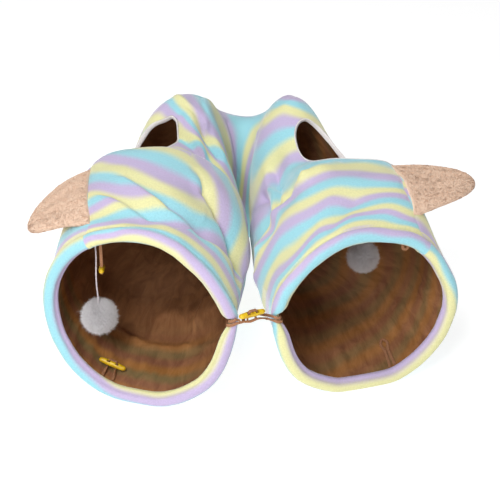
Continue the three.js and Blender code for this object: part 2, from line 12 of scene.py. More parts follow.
import bpy
import numpy as np
from bpy.types import Material, Node, NodeSocket, NodeTree, Object
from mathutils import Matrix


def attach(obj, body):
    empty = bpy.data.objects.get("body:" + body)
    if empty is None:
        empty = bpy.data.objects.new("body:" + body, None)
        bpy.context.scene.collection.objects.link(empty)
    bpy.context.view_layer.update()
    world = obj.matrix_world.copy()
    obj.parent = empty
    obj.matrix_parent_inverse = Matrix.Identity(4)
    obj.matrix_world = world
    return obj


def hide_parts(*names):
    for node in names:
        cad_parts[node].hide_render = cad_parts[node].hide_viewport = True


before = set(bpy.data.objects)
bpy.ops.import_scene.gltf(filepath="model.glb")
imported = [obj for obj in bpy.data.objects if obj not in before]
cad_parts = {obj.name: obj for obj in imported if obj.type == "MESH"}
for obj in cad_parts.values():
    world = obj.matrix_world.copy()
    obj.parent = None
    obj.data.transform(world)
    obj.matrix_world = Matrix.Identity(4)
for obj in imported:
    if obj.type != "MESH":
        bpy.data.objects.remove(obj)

Array = np.ndarray
Pair = tuple[float, float]
Colour = tuple[float, float, float, float]

log = logging.getLogger("cat_tunnel")

MM = 0.001
SEED = 7
BODY = "root"

# Driving dimensions, as in the solids.
PLUSH = 3.0
LINING = 1.2
LINING_GAP = 0.95
LINING_BACK = 2.0  # between a hem's back and the lining's edge
CLEAR = 0.4
INSIDE = PLUSH + LINING_GAP + LINING  # depth of the lining's bare face
HEM_RADIUS = 10.0
HEM_PROUD = 2.0  # how far a hem stands out of the tube
FLOOR_SINK = 6.0  # how far the section would reach below the floor
WAIST_SHARE = 0.35  # sine by which the foot's lean has become the top's
ROW_STEP = 55.0  # length of a section row along the tube
ROLL_RADIUS = 120.0  # radius at which degrees become a length
DEG_STEP = np.radians(1.0) * ROLL_RADIUS
HEM_ROWS = (2 * HEM_RADIUS + 1) / ROW_STEP
TAPE_WIDTH = 4.0
TAPE_THICK = 1.4
TAPE_REST = 0.9
TAPE_HEM_REST = 1.8
STRING_RADIUS = 1.1
SLOT_AT = 6.0
TOGGLE_RADIUS = 4.0

UP = np.array([0.0, 0.0, 1.0])
DOWN = -UP

# Sections of the tube: middle, plan direction of the outer side, lean of the top and of the foot along the
# tube, half widths to the outer and inner side, height, height of the widest place, and how pointed and
# raised the inner side is.
SECTION_COLUMNS = ("x", "y", "face", "lean", "foot", "out", "inn", "top", "mid", "tip", "lift")
SECTIONS = (
    (-145, -232, 163, 12, 12, 133, 128, 230, 124, 1.75, 16),
    (-142, -177, 166, 9, 9, 129, 127.5, 237, 124, 1.45, 12),
    (-139, -117, 170, 6, 6, 124, 131, 245, 124, 1.2, 6),
    (-135, -57, 174, 2, 2, 121, 129, 250, 124, 1.05, 0),
    (-129, 0, 177, -2, -2, 118, 121, 252, 122, 1, 0),
    (-119, 53, 176, -4, -4, 98, 107, 226, 106, 1, 0),
    (-110, 96, 170, -2, -2, 84, 90, 246, 112, 1, 0),
    (-102, 136, 157, 0, 0, 80, 78, 264, 120, 1, 0),
    (-81, 175, 135, 0, 0, 73, 63, 250, 112, 1, 0),
    (-49, 200, 112, 0, 0, 68, 56, 215, 98, 1, 0),
    (-16, 206, 90, 0, 0, 66, 54, 200, 92, 1, 0),
    (15, 200, 68, 0, 0, 64, 56, 212, 98, 1, 0),
    (40, 175, 45, 0, 0, 58, 60, 248, 112, 1, 0),
    (59, 136, 23, 0, 0, 55, 70, 264, 120, 1, 0),
    (77, 96, 10, 2, 2, 62, 82, 238, 112, 1, 0),
    (98, 50, 5, 4, 4, 82, 102, 214, 106, 1, 0),
    (116, 0, 4, 3, 3, 108, 120, 234, 116, 1, 0),
    (127, -52, 7, 0, 2, 115, 130, 236, 120, 1.05, 0),
    (134, -107, 11, -4, 0, 119, 132, 236, 122, 1.2, 6),
    (139, -162, 14, -8, -2, 126, 126, 229, 122, 1.45, 10),
    (143, -216, 17, -12, -4, 130, 124, 222, 118, 1.4, 16),
)
LAST_ROW = len(SECTIONS) - 1

# Creases and ridges: row and degrees of both ends of a line, its width, and its rise.
FOLDS = (
    (1.3, 46, 4.2, 47, 46, 13),
    (16.2, 56, 18.8, 58, 38, 16),
    (17, 24, 19.4, 26, 46, -5),
    (0, 220, 0.9, 220, 36, 5),
    (19.1, 220, 20, 220, 36, 5),
    (1, 45, 0.85, 90, 20, -5),
    (0.85, 90, 1.3, 128, 20, -6),
    (1.3, 128, 1.5, 165, 20, -6),
    (2.4, 122, 1.6, 165, 22, -8),
    (3.1, 128, 2.4, 180, 28, 6),
    (6.2, 72, 5.3, 114, 22, -11),
    (5.4, 128, 6.1, 121, 22, -12),
    (6.9, 118, 8.2, 108, 24, 6),
    (14.6, 130, 17.1, 130, 21, -13),
    (15.4, 152, 17.5, 150, 20, -12),
    (16.8, 106, 16.8, 116, 20, 9),
    (17.6, 70, 17.4, 120, 26, 4),
    (18.6, 95, 18.8, 118, 24, -4),
)
# Sharper creases that lie along the bottoms and brows of those folds.
CREASES = (
    (3.2, 115, 2.6, 124, 6, -3.5),
    (2.6, 124, 2.2, 136, 6, -3.5),
    (2.2, 136, 1.8, 158, 6, -3.5),
    (5.98, 92, 5.5, 117.5, 7, -4),
    (6.35, 123, 5.9, 135, 7, -4),
    (14.45, 137, 15.5, 139, 6, -5),
    (15.5, 139, 16.75, 143, 6, -5),
    (15.1, 152, 17.05, 155, 6, -4.5),
    (16.5, 137, 16.9, 149, 8, 3),
    (16.75, 117, 16.85, 122, 9, 3),
    (16.5, 127, 17, 129, 6, -3),
    (18.45, 92, 19.25, 108, 8, -2),
    (18.2, 105, 18.9, 116, 9, 1.5),
    (2.9, 60, 2.1, 100, 10, 1.2),
    (7.2, 78, 6.4, 104, 9, 3),
    (7.9, 96, 6.9, 116, 8, -3),
    (9, 60, 8.4, 100, 12, 2),
    (12.6, 70, 12.9, 110, 12, -2),
    (1.6, 188, 2.5, 184, 18, -6),
)
# Edges where one cloth stands over the next: both ends, how far it reaches, and the rise on the higher rows.
STEPS = (
    (6.15, 82, 5.98, 92, 16, 4),
    (5.98, 92, 5.5, 117.5, 18, 6),
    (6.9, 84, 6.35, 118, 12, 3),
    (6.35, 118, 5.9, 137, 14, 5),
    (8.95, 112, 9.25, 158, 14, -4),
    (12.6, 128, 12.2, 140, 14, 4),
    (12.2, 140, 12, 155, 14, 4),
    (14.6, 136, 15.5, 139, 14, -6),
    (15.5, 139, 16.7, 143, 14, -6),
    (16.3, 97, 16.85, 116, 18, 5),
    (16.85, 116, 16.95, 130, 18, 5),
    (16.95, 130, 17, 146, 16, 4.5),
    (17, 146, 17.6, 165, 16, 4),
    (17.6, 165, 18, 184, 16, 4),
    (18, 184, 18.6, 198, 16, 3),
)
# Folds of the lining inside the mouths: as in FOLDS, with the rise towards the middle of the tube.
LINING_FOLDS = (
    (2.37, 296, 2.2, 282, 5, 3),
    (2.2, 282, 2.03, 268, 5, 3),
    (2.03, 268, 2.03, 248, 5, 3),
    (2.03, 248, 1.43, 217, 5, 3),
    (3.13, 258, 2.77, 244, 26, 8),
    (3.5, 236, 3, 230, 16, 5),
    (3.9, 252, 3, 246, 6, 6),
    (3.7, 262, 3.1, 266, 6, 5),
    (3.4, 236, 2.7, 240, 6, 6),
    (4.2, 240, 3.6, 228, 8, 6),
    (0.5, 269, 1.6, 272, 4, 2.8),
    (0.6, 279, 1.5, 281, 4, 2.8),
    (0.5, 262, 1.2, 264, 4, 2.6),
    (0.5, 254, 1.1, 255, 4, 2.6),
    (1.3, 294, 1.9, 299, 4, 3),
    (0.6, 306, 2, 310, 4, 3.2),
    (0.7, 322, 2.2, 327, 4, 3.2),
    (19.4, 308, 17.6, 311, 4, 3.2),
    (19.3, 322, 17.8, 321, 4, 3.2),
    (19.4, 338, 17.8, 336, 4, 3.2),
    (19.3, 275, 18.2, 273, 4, 2.8),
    (19.3, 262, 18.4, 261, 4, 2.6),
)
# Folds of the left arm: degrees round, and the row where the cloth nearer the mouth stands over the cloth
# behind.
SHOULDER_EDGE = (
    (40, 4.5), (110, 4.5), (113, 3.4), (122, 2.75), (127.5, 2.38), (136, 2.2), (147, 1.95), (160, 1.75),
    (175, 1.7), (400, 1.7),
)
SHARED_EDGE = ((121, 1.25), (135, 1.38), (148, 1.5), (157, 1.6), (175, 1.65), (400, 1.65))
LAP_EDGE = ((40, 2.6), (61, 2.55), (74, 2.35), (91, 1.68), (103.5, 1.33), *SHARED_EDGE)
CUFF_EDGE = (
    (40, 1.75), (56, 1.75), (68.5, 1.5), (81, 1.15), (92, 0.93), (104, 0.82), (110, 0.8), (116, 1),
    *SHARED_EDGE,
)
# The lengthwise seam: rows and degrees.
SEAM = (
    (0, 54), (0.7, 56), (1.8, 53), (3.5, 46), (5, 42), (15, 50), (16.4, 58), (18.2, 61), (19.2, 58), (20, 45),
)


def unit(vectors: Array) -> Array:
    """Vectors scaled to length one along their last axis."""
    return vectors / np.linalg.norm(vectors, axis=-1, keepdims=True)


def degrees_from(start: float | Array, deg: Array) -> Array:
    """Degrees from a start, the short way round."""
    return np.mod(deg - start + 180, 360) - 180


def run_along(path: Array) -> Array:
    """Length of a path from its start to each of its points."""
    return np.concatenate([[0], np.cumsum(np.linalg.norm(np.diff(path, axis=0), axis=1))])


def blunt(values: Array, power: float | Array) -> Array:
    """Values from -1 to 1 with their size raised to a power, which squares off a round section."""
    return np.sign(values) * np.abs(values) ** power


def linked(name: str, data: Any) -> Object:
    """Puts an object into the scene, at the origin.

    Args:
        name: its name.
        data: its mesh, lamp or camera.

    Returns:
        The object.
    """
    made = bpy.data.objects.new(name, data)
    bpy.context.scene.collection.objects.link(made)
    return made


def smooth_step(start: float, end: float, values: Array) -> Array:
    """Soft step: 3t^2 - 2t^3 of the share t of the way from start to end, held at 0 and 1 outside."""
    share = np.clip((values - start) / (end - start), 0.0, 1.0)
    return share * share * (3.0 - 2.0 * share)


def stops(table: Sequence[Pair], values: Array) -> Array:
    """Straight-line values between the stops of a two-column table."""
    columns = np.array(table, float)
    return np.interp(values, columns[:, 0], columns[:, 1])


def linear(red: int, green: int, blue: int) -> Colour:
    """Screen colour from 0 to 255 as the linear colour that a shader takes.

    Args:
        red, green, blue: screen values.

    Returns:
        Linear red, green, blue and a full alpha.
    """
    share = np.array([red, green, blue]) / 255.0
    values = np.where(share <= 0.04045, share / 12.92, ((share + 0.055) / 1.055) ** 2.4)
    return (*(float(v) for v in values), 1.0)


def ripple(across: Array, along: Array, lengths: Pair, seed: int) -> Array:
    """Smooth noise: the sum of a dozen sine waves of random direction, each about the given lengths long.

    Args:
        across, along: places in millimetres.
        lengths: wave lengths across and along.
        seed: picks the waves.

    Returns:
        Values of about -1 to 1.
    """
    waves = 12
    slowest, fastest = 0.6, 1.4
    draw = np.random.default_rng(seed)
    turns = draw.uniform(0, 2 * np.pi, (waves, 2))
    sizes = draw.uniform(slowest, fastest, waves)
    total = np.zeros(np.broadcast(across, along).shape)
    for (way, start), size in zip(turns, sizes):
        place = np.cos(way) * across / lengths[0] + np.sin(way) * along / lengths[1]
        total += np.sin(2 * np.pi * size * place + start)
    return total / np.sqrt(2 * waves)


def smooth_path(points: Array, count: int) -> Array:
    """Centripetal Catmull-Rom curve through points of any dimension, at evenly spaced parameters.

    Args:
        points: places that the curve passes through.
        count: number of places returned.

    Returns:
        Places along the curve, first and last included.
    """
    ends = np.vstack([2 * points[0] - points[1], points, 2 * points[-1] - points[-2]])
    spans = np.sqrt(np.linalg.norm(np.diff(ends, axis=0), axis=1))
    share = np.linspace(0, len(points) - 1, count)
    piece = np.minimum(share.astype(int), len(points) - 2)
    f = (share - piece)[:, None]
    a, b, c, d = (ends[piece + k] for k in range(4))
    before, here, after = (spans[piece + k][:, None] for k in range(3))
    tiny = 1e-4
    here = np.where(here < tiny, 1.0, here)
    before = np.where(before < tiny, here, before)
    after = np.where(after < tiny, here, after)
    leave = here * ((b - a) / before - (c - a) / (before + here) + (c - b) / here)
    reach = here * ((c - b) / here - (d - b) / (here + after) + (d - c) / after)
    return b + leave * f + (3 * (c - b) - 2 * leave - reach) * f**2 + (2 * (b - c) + leave + reach) * f**3


def grid_faces(rows: int, columns: int, closed: bool = False) -> Array:
    """Quads of a grid of points, in the order column, then row.

    Args:
        rows, columns: points in the grid.
        closed: whether the last column joins the first.

    Returns:
        Four point numbers for each quad.
    """
    across = columns if closed else columns - 1
    row, column = np.meshgrid(np.arange(rows - 1), np.arange(across), indexing="ij")
    after = (column + 1) % columns
    near, far = row * columns, (row + 1) * columns
    return np.stack([near + column, near + after, far + after, far + column], -1).reshape(-1, 4)


def weld(points: Array, quads: Array) -> tuple[Array, list[list[int]]]:
    """Joins points that share a place, and turns quads that lose a side there into triangles.

    Args:
        points: places.
        quads: four point numbers each.

    Returns:
        The joined points, and the faces.
    """
    joined, number = np.unique(np.round(points, 6), axis=0, return_inverse=True)
    faces = number.reshape(-1)[quads]
    same = faces == np.roll(faces, -1, axis=1)
    whole = faces[~same.any(axis=1)]
    cut = same.sum(axis=1) == 1
    side = np.argmax(same[cut], axis=1)
    order = (side[:, None] + np.array([1, 2, 3])) % 4
    triangles = np.take_along_axis(faces[cut], order, axis=1)
    return joined, whole.tolist() + triangles.tolist()


@dataclass
class Piece:
    """A mesh in the making: points in millimetres, faces, and what its material reads."""

    name: str
    points: Array
    faces: Any
    uv: Array | None = None
    values: dict[str, Array] = field(default_factory=dict)

    def place(self, material: Material, slot: str, *nodes: str) -> Object:
        """Makes the object, with its material, on the tunnel's body.

        Args:
            material: its finish.
            slot: the record's material slot; not used.
            nodes: solids that it stands for.

        Returns:
            The object.
        """
        mesh = bpy.data.meshes.new(self.name)
        faces = self.faces.tolist() if isinstance(self.faces, Array) else self.faces
        mesh.from_pydata((self.points.reshape(-1, 3) * MM).tolist(), [], faces)
        mesh.polygons.foreach_set("use_smooth", np.ones(len(mesh.polygons), bool))
        if self.uv is not None:
            corners = np.empty(len(mesh.loops), np.int32)
            mesh.loops.foreach_get("vertex_index", corners)
            layer = mesh.uv_layers.new(name="cloth")
            layer.data.foreach_set("uv", self.uv.reshape(-1, 2)[corners].astype(np.float32).ravel())
        for name, values in self.values.items():
            attribute = mesh.attributes.new(name, "FLOAT", "POINT")
            attribute.data.foreach_set("value", np.ascontiguousarray(values, np.float32).ravel())
        mesh.materials.append(material)
        mesh.update()
        made = linked(self.name, mesh)
        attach(made, BODY)
        if nodes:
            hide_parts(*nodes)
        log.info("%s: %d points, %d faces", self.name, len(mesh.vertices), len(mesh.polygons))
        return made


class NodeBench:
    """Adds nodes to a shader tree and links them."""

    def __init__(self, tree: NodeTree) -> None:
        """Starts from an empty tree."""
        self.tree = tree
        tree.nodes.clear()

    def add(self, kind: str, sockets: dict[Any, Any] | None = None, **settings: Any) -> Node:
        """Adds a node.

        Args:
            kind: its type, without the ShaderNode in front.
            sockets: inputs by name or number, each a value or another node's output.
            settings: properties of the node.

        Returns:
            The node.
        """
        node = self.tree.nodes.new("ShaderNode" + kind)
        for name, value in settings.items():
            setattr(node, name, value)
        for name, value in (sockets or {}).items():
            if isinstance(value, NodeSocket):
                self.tree.links.new(value, node.inputs[name])
            else:
                node.inputs[name].default_value = value
        return node

    def math(self, operation: str, *values: Any) -> NodeSocket:
        """Output of a Math node on numbers or sockets."""
        return self.add("Math", dict(enumerate(values)), operation=operation).outputs[0]

    def mix(self, share: Any, first: Any, second: Any) -> NodeSocket:
        """Colour between two colours."""
        return self.add("Mix", {0: share, 6: first, 7: second}, data_type="RGBA").outputs[2]

    def noise(self, place: Any, scale: Any, **sockets: float) -> NodeSocket:
        """Output of a Noise Texture node."""
        return self.add("TexNoise", {"Vector": place, "Scale": scale, **sockets}).outputs["Fac"]

    def span(self, value: Any, low: Any, high: Any, to_low: float = 0.0, to_high: float = 1.0) -> Any:
        """Value carried smoothly from one range to another."""
        sockets = {"Value": value, "From Min": low, "From Max": high, "To Min": to_low, "To Max": to_high}
        return self.add("MapRange", sockets, interpolation_type="SMOOTHSTEP").outputs["Result"]

    def attribute(self, name: str) -> NodeSocket:
        """Value that the mesh holds at each point."""
        return self.add("Attribute", attribute_name=name).outputs["Fac"]

    def shade(self, sockets: dict[str, Any], height: Any = None, *bump: float) -> None:
        """Ends a material in a Principled shader.

        Args:
            sockets: its inputs.
            height: relief for a Bump node, if there is any.
            bump: the Bump node's strength, and its depth in millimetres.
        """
        sockets = dict(sockets)
        if height is not None:
            relief = {"Height": height, "Strength": bump[0], "Distance": bump[1] * MM}
            sockets["Normal"] = self.add("Bump", relief).outputs["Normal"]
        shader = self.add("BsdfPrincipled", sockets)
        self.add("OutputMaterial", {"Surface": shader.outputs[0]})


def new_material(name: str) -> tuple[Material, NodeBench]:
    """Starts a material.

    Args:
        name: its name.

    Returns:
        The material with an empty tree, and the bench that fills it.
    """
    material = bpy.data.materials.new(name)
    material.use_nodes = True
    return material, NodeBench(material.node_tree)


def new_group(name: str, inputs: dict[str, str], outputs: dict[str, str]) -> tuple[NodeBench, Any, Any]:
    """Starts a shader node group.

    Args:
        name: the group's name.
        inputs, outputs: kinds of socket by name.

    Returns:
        The bench that fills it, the group's inputs by name, and its output node.
    """
    tree = bpy.data.node_groups.new(name, "ShaderNodeTree")
    for way, sockets in (("INPUT", inputs), ("OUTPUT", outputs)):
        for title, kind in sockets.items():
            tree.interface.new_socket(title, in_out=way, socket_type="NodeSocket" + kind)
    bench = NodeBench(tree)
    start = tree.nodes.new("NodeGroupInput").outputs
    end = tree.nodes.new("NodeGroupOutput")
    return bench, start, end


def stripe_group() -> NodeTree:
    """Stripes of three colours with soft edges: each colour's share falls off with the distance, round the
    repeat, from the middle of its own third.

    Returns:
        The node group.
    """
    bench, given, end = new_group(
        "StripeColour",
        {"Repeat": "Float", "Softness": "Float", "Lavender": "Color", "Aqua": "Color", "Yellow": "Color"},
        {"Color": "Color"},
    )
    half_stripe = 0.5 / len(Stripe)
    inner = bench.math("SUBTRACT", half_stripe, given["Softness"])
    outer = bench.math("ADD", half_stripe, given["Softness"])
    shares = []
    for stripe in Stripe:
        turned = bench.math("FRACT", bench.math("ADD", given["Repeat"], 0.5 - stripe.middle))
        away = bench.math("ABSOLUTE", bench.math("SUBTRACT", turned, 0.5))
        shares.append(bench.span(away, inner, outer, 1.0, 0.0))
    first = bench.math("ADD", shares[0], shares[1])
    both = bench.math("ADD", first, shares[2])
    cool = bench.mix(bench.math("DIVIDE", shares[1], first), given["Lavender"], given["Aqua"])
    colour = bench.mix(bench.math("DIVIDE", shares[2], both), cool, given["Yellow"])
    bench.tree.links.new(colour, end.inputs["Color"])
    return bench.tree


def pile_group() -> NodeTree:
    """Short pile: clumps of fibres at one size and single fibres at a quarter of it, as a shade about 0 and a
    height from 0 to 1.

    Returns:
        The node group.
    """
    bench, given, end = new_group(
        "PileClumps", {"Place": "Vector", "Density": "Float"}, {"Shade": "Float", "Height": "Float"}
    )
    finer = 4.0
    clump_share, fibre_share = 0.6, 0.4
    coarse = bench.noise(given["Place"], given["Density"], Detail=2.0, Roughness=0.55)
    fine = bench.noise(given["Place"], bench.math("MULTIPLY", given["Density"], finer), Detail=1.0)
    shares = bench.math("MULTIPLY", coarse, clump_share), bench.math("MULTIPLY", fine, fibre_share)
    both = bench.math("ADD", *shares)
    bench.tree.links.new(bench.math("SUBTRACT", both, 0.5), end.inputs["Shade"])
    bench.tree.links.new(both, end.inputs["Height"])
    return bench.tree


def weave_group() -> NodeTree:
    """Plain weave on a flat map in metres: the product of a sine for the threads each way, as a height from 0
    to 1.

    Returns:
        The node group.
    """
    bench, given, end = new_group("Weave", {"Place": "Vector", "Threads": "Float"}, {"Height": "Float"})
    parts = bench.add("SeparateXYZ", {"Vector": given["Place"]}).outputs
    waves = []
    for axis in ("X", "Y"):
        turns = bench.math("MULTIPLY", parts[axis], bench.math("MULTIPLY", given["Threads"], 2 * np.pi))
        waves.append(bench.math("SINE", turns))
    crossed = bench.math("MULTIPLY", waves[0], waves[1])
    bench.tree.links.new(bench.math("MULTIPLY_ADD", crossed, 0.5, 0.5), end.inputs["Height"])
    return bench.tree


class Stripe(Enum):
    """The plush's three colours, in their order along a repeat."""

    LAVENDER = 0
    AQUA = 1
    YELLOW = 2

    @property
    def middle(self) -> float:
        """Share of the repeat at which the stripe's middle lies."""
        return (self.value + 0.5) / len(Stripe)


class Side(Enum):
    """The two arms of the tunnel."""

    LEFT = "left"
    RIGHT = "right"


@dataclass(frozen=True)
class Groups:
    """The shader node groups that several finishes share."""

    stripe: NodeTree
    pile: NodeTree
    weave: NodeTree


@dataclass(frozen=True)
class PlushFinish:
    """Short velvety pile, printed in soft-edged stripes."""

    lavender: Colour = linear(193, 178, 211)
    aqua: Colour = linear(156, 211, 222)
    yellow: Colour = linear(224, 221, 166)
    softness: float = 0.105
    wobble: float = 0.12
    clumps: float = 420.0
    mottle: float = 0.5
    sheen: float = 0.65
    sheen_rough: float = 0.35
    bump: Pair = (0.5, 1.5)

    def material(self, groups: Groups) -> Material:
        """Builds the material.

        Args:
            groups: shared node groups.

        Returns:
            The material.
        """
        material, bench = new_material("striped_plush")
        cloth = bench.add("UVMap", uv_map="cloth").outputs["UV"]
        pile = bench.add("Group", {"Place": cloth, "Density": self.clumps}, node_tree=groups.pile).outputs
        repeat = bench.attribute("stripe_arm")
        for zone in (*(zone.name for zone in ZONES), "outer"):
            inside = bench.math("GREATER_THAN", bench.attribute("inside_" + zone), 0.0)
            change = bench.math("SUBTRACT", bench.attribute("stripe_" + zone), repeat)
            repeat = bench.math("MULTIPLY_ADD", change, inside, repeat)
        repeat = bench.math("MULTIPLY_ADD", pile["Shade"], self.wobble, repeat)
        colours = {"Lavender": self.lavender, "Aqua": self.aqua, "Yellow": self.yellow}
        stripes = {"Repeat": repeat, "Softness": self.softness, **colours}
        colour = bench.add("Group", stripes, node_tree=groups.stripe).outputs["Color"]
        shade = bench.math("MULTIPLY_ADD", pile["Shade"], self.mottle, 1.0)
        grey = bench.add("CombineColor", {"Red": shade, "Green": shade, "Blue": shade}).outputs[0]
        tone = bench.add("Mix", {0: 1.0, 6: colour, 7: grey}, data_type="RGBA", blend_type="MULTIPLY")
        sockets = {"Base Color": tone.outputs[2], "Roughness": 1.0, "Specular IOR Level": 0.1}
        sockets |= {"Sheen Weight": self.sheen, "Sheen Roughness": self.sheen_rough}
        bench.shade(sockets, pile["Height"], *self.bump)
        return material


@dataclass(frozen=True)
class LiningFinish:
    """Thin brown crinkle cloth, with painted light: the plush's stripes painted as darker and warmer bands
    where light shows through the cloth, and painted highlights on the crinkles' ridges with painted shade in
    their hollows.
    """

    # Painted light: the colours of the bands where light glowing through the cloth is painted in.
    lavender: Colour = linear(150, 98, 74)
    aqua: Colour = linear(132, 122, 80)
    yellow: Colour = linear(190, 130, 64)
    plain: Colour = linear(144, 96, 60)
    # Painted light on the crinkles: a painted highlight colour for their ridges and a painted shade colour for
    # their hollows.
    painted_crinkle_light: Colour = linear(190, 138, 94)
    painted_crinkle_shade: Colour = linear(98, 60, 36)
    painted_crinkle_span: Pair = (0.3, 0.72)
    painted_crinkle_share: float = 0.38
    softness: float = 0.14
    crinkles: float = 60.0
    crinkle_stretch: float = 0.35
    threads: float = 900.0
    weave_share: float = 0.05
    rough_span: tuple[float, float, float, float] = (0.3, 0.7, 0.62, 0.46)
    bump: Pair = (0.45, 4.0)

    def material(self, groups: Groups) -> Material:
        """Builds the material.

        Args:
            groups: shared node groups.

        Returns:
            The material.
        """
        material, bench = new_material("crinkle_lining")
        cloth = bench.add("UVMap", uv_map="cloth").outputs["UV"]
        colours = {"Lavender": self.lavender, "Aqua": self.aqua, "Yellow": self.yellow}
        stripes = {"Repeat": bench.attribute("stripe_lining"), "Softness": self.softness, **colours}
        colour = bench.add("Group", stripes, node_tree=groups.stripe).outputs["Color"]
        scale = (1.0, self.crinkle_stretch, 1.0)
        stretch = bench.add("Mapping", {"Vector": cloth, "Scale": scale}).outputs["Vector"]
        crinkle = bench.noise(stretch, self.crinkles, Detail=5.0, Roughness=0.6, Distortion=0.6)
        threads = {"Place": cloth, "Threads": self.threads}
        weave = bench.add("Group", threads, node_tree=groups.weave).outputs["Height"]
        # Painted highlights on the crinkles' ridges and painted shade in their hollows, by the same noise that
        # raises them, mixed into the colour.
        painted_crinkles = bench.mix(bench.span(crinkle, *self.painted_crinkle_span), self.painted_crinkle_shade, self.painted_crinkle_light)
        # Painted light glowing through the cloth: its bands take the place of the plain colour near the mouths.
        tone = bench.mix(bench.attribute("band_share"), self.plain, colour)
        tone = bench.mix(self.painted_crinkle_share, tone, painted_crinkles)
        height = bench.math("MULTIPLY_ADD", weave, self.weave_share, crinkle)
        rough = bench.span(crinkle, *self.rough_span)
        sockets = {"Base Color": tone, "Roughness": rough, "Specular IOR Level": 0.4}
        bench.shade(sockets, height, *self.bump)
        return material


@dataclass(frozen=True)
class PileFinish:
    """Longer matted pile of one colour, each fibre a little lighter or darker."""

    name: str
    light: Colour
    dark: Colour
    clumps: float
    sheen: float = 0.15
    fibre_share: float = 0.4
    tone_span: Pair = (-0.25, 0.35)
    bump: Pair = (0.4, 1.2)

    def material(self, groups: Groups) -> Material:
        """Builds the material.

        Args:
            groups: shared node groups.

        Returns:
            The material.
        """
        material, bench = new_material(self.name)
        place = bench.add("TexCoord").outputs["Object"]
        pile = bench.add("Group", {"Place": place, "Density": self.clumps}, node_tree=groups.pile).outputs
        # The attribute holds each fibre's own tone and, on a pompom's heart, painted shade.
        share = bench.math("MULTIPLY_ADD", bench.attribute("fibre_tone"), self.fibre_share, pile["Shade"])
        colour = bench.mix(bench.span(share, *self.tone_span), self.dark, self.light)
        sockets = {"Base Color": colour, "Roughness": 0.95, "Specular IOR Level": 0.1}
        sockets |= {"Sheen Weight": self.sheen, "Sheen Roughness": 0.5}
        bench.shade(sockets, pile["Height"], *self.bump)
        return material


@dataclass(frozen=True)
class WovenFinish:
    """Woven tape, binding or string on a flat map along its length."""

    name: str
    light: Colour
    dark: Colour
    threads: float
    rough: float = 0.85
    uneven: float = 0.7
    tone_span: Pair = (0.2, 0.75)
    bump: Pair = (0.6, 0.3)

    def material(self, groups: Groups) -> Material:
        """Builds the material.

        Args:
            groups: shared node groups.

        Returns:
            The material.
        """
        material, bench = new_material(self.name)
        cloth = bench.add("UVMap", uv_map="cloth").outputs["UV"]
        threads = {"Place": cloth, "Threads": self.threads}
        weave = bench.add("Group", threads, node_tree=groups.weave).outputs["Height"]
        noise = bench.noise(cloth, self.threads * self.uneven, Detail=2.0)
        share = bench.math("ADD", bench.math("MULTIPLY", weave, 0.5), bench.math("MULTIPLY", noise, 0.5))
        colour = bench.mix(bench.span(share, *self.tone_span), self.dark, self.light)
        sockets = {"Base Color": colour, "Roughness": self.rough, "Specular IOR Level": 0.2}
        bench.shade(sockets, weave, *self.bump)
        return material


@dataclass(frozen=True)
class ToggleFinish:
    """Golden yellow moulded plastic, satin, with faint flow marks."""

    bright: Colour = linear(236, 200, 34)
    deep: Colour = linear(208, 164, 16)
    flow_scale: float = 140.0
    grain_scale: float = 2600.0
    tone_span: Pair = (0.35, 0.65)
    rough_span: tuple[float, float, float, float] = (0.3, 0.7, 0.3, 0.44)
    bump: Pair = (0.15, 0.1)

    def material(self) -> Material:
        """Builds the material.

        Returns:
            The material.
        """
        material, bench = new_material("golden_plastic")
        place = bench.add("TexCoord").outputs["Object"]
        flow = bench.noise(place, self.flow_scale, Detail=3.0, Distortion=1.0)
        grain = bench.noise(place, self.grain_scale, Detail=1.0)
        colour = bench.mix(bench.span(flow, *self.tone_span), self.deep, self.bright)
        rough = bench.span(flow, *self.rough_span)
        bench.shade({"Base Color": colour, "Roughness": rough}, grain, *self.bump)
        return material


@dataclass(frozen=True)
class FloorFinish:
    """Plain white studio floor with a faint unevenness."""

    light: Colour = linear(186, 186, 186)
    dark: Colour = linear(180, 180, 181)
    glow: float = 0.75
    patches: float = 1.5

    def material(self) -> Material:
        """Builds the material.

        Returns:
            The material.
        """
        material, bench = new_material("studio_floor")
        place = bench.add("TexCoord").outputs["Object"]
        noise = bench.noise(place, self.patches)
        sockets = {"Base Color": bench.mix(noise, self.dark, self.light), "Roughness": 0.9}
        sockets |= {"Emission Color": linear(255, 255, 255), "Emission Strength": self.glow}
        bench.shade(sockets)
        return material


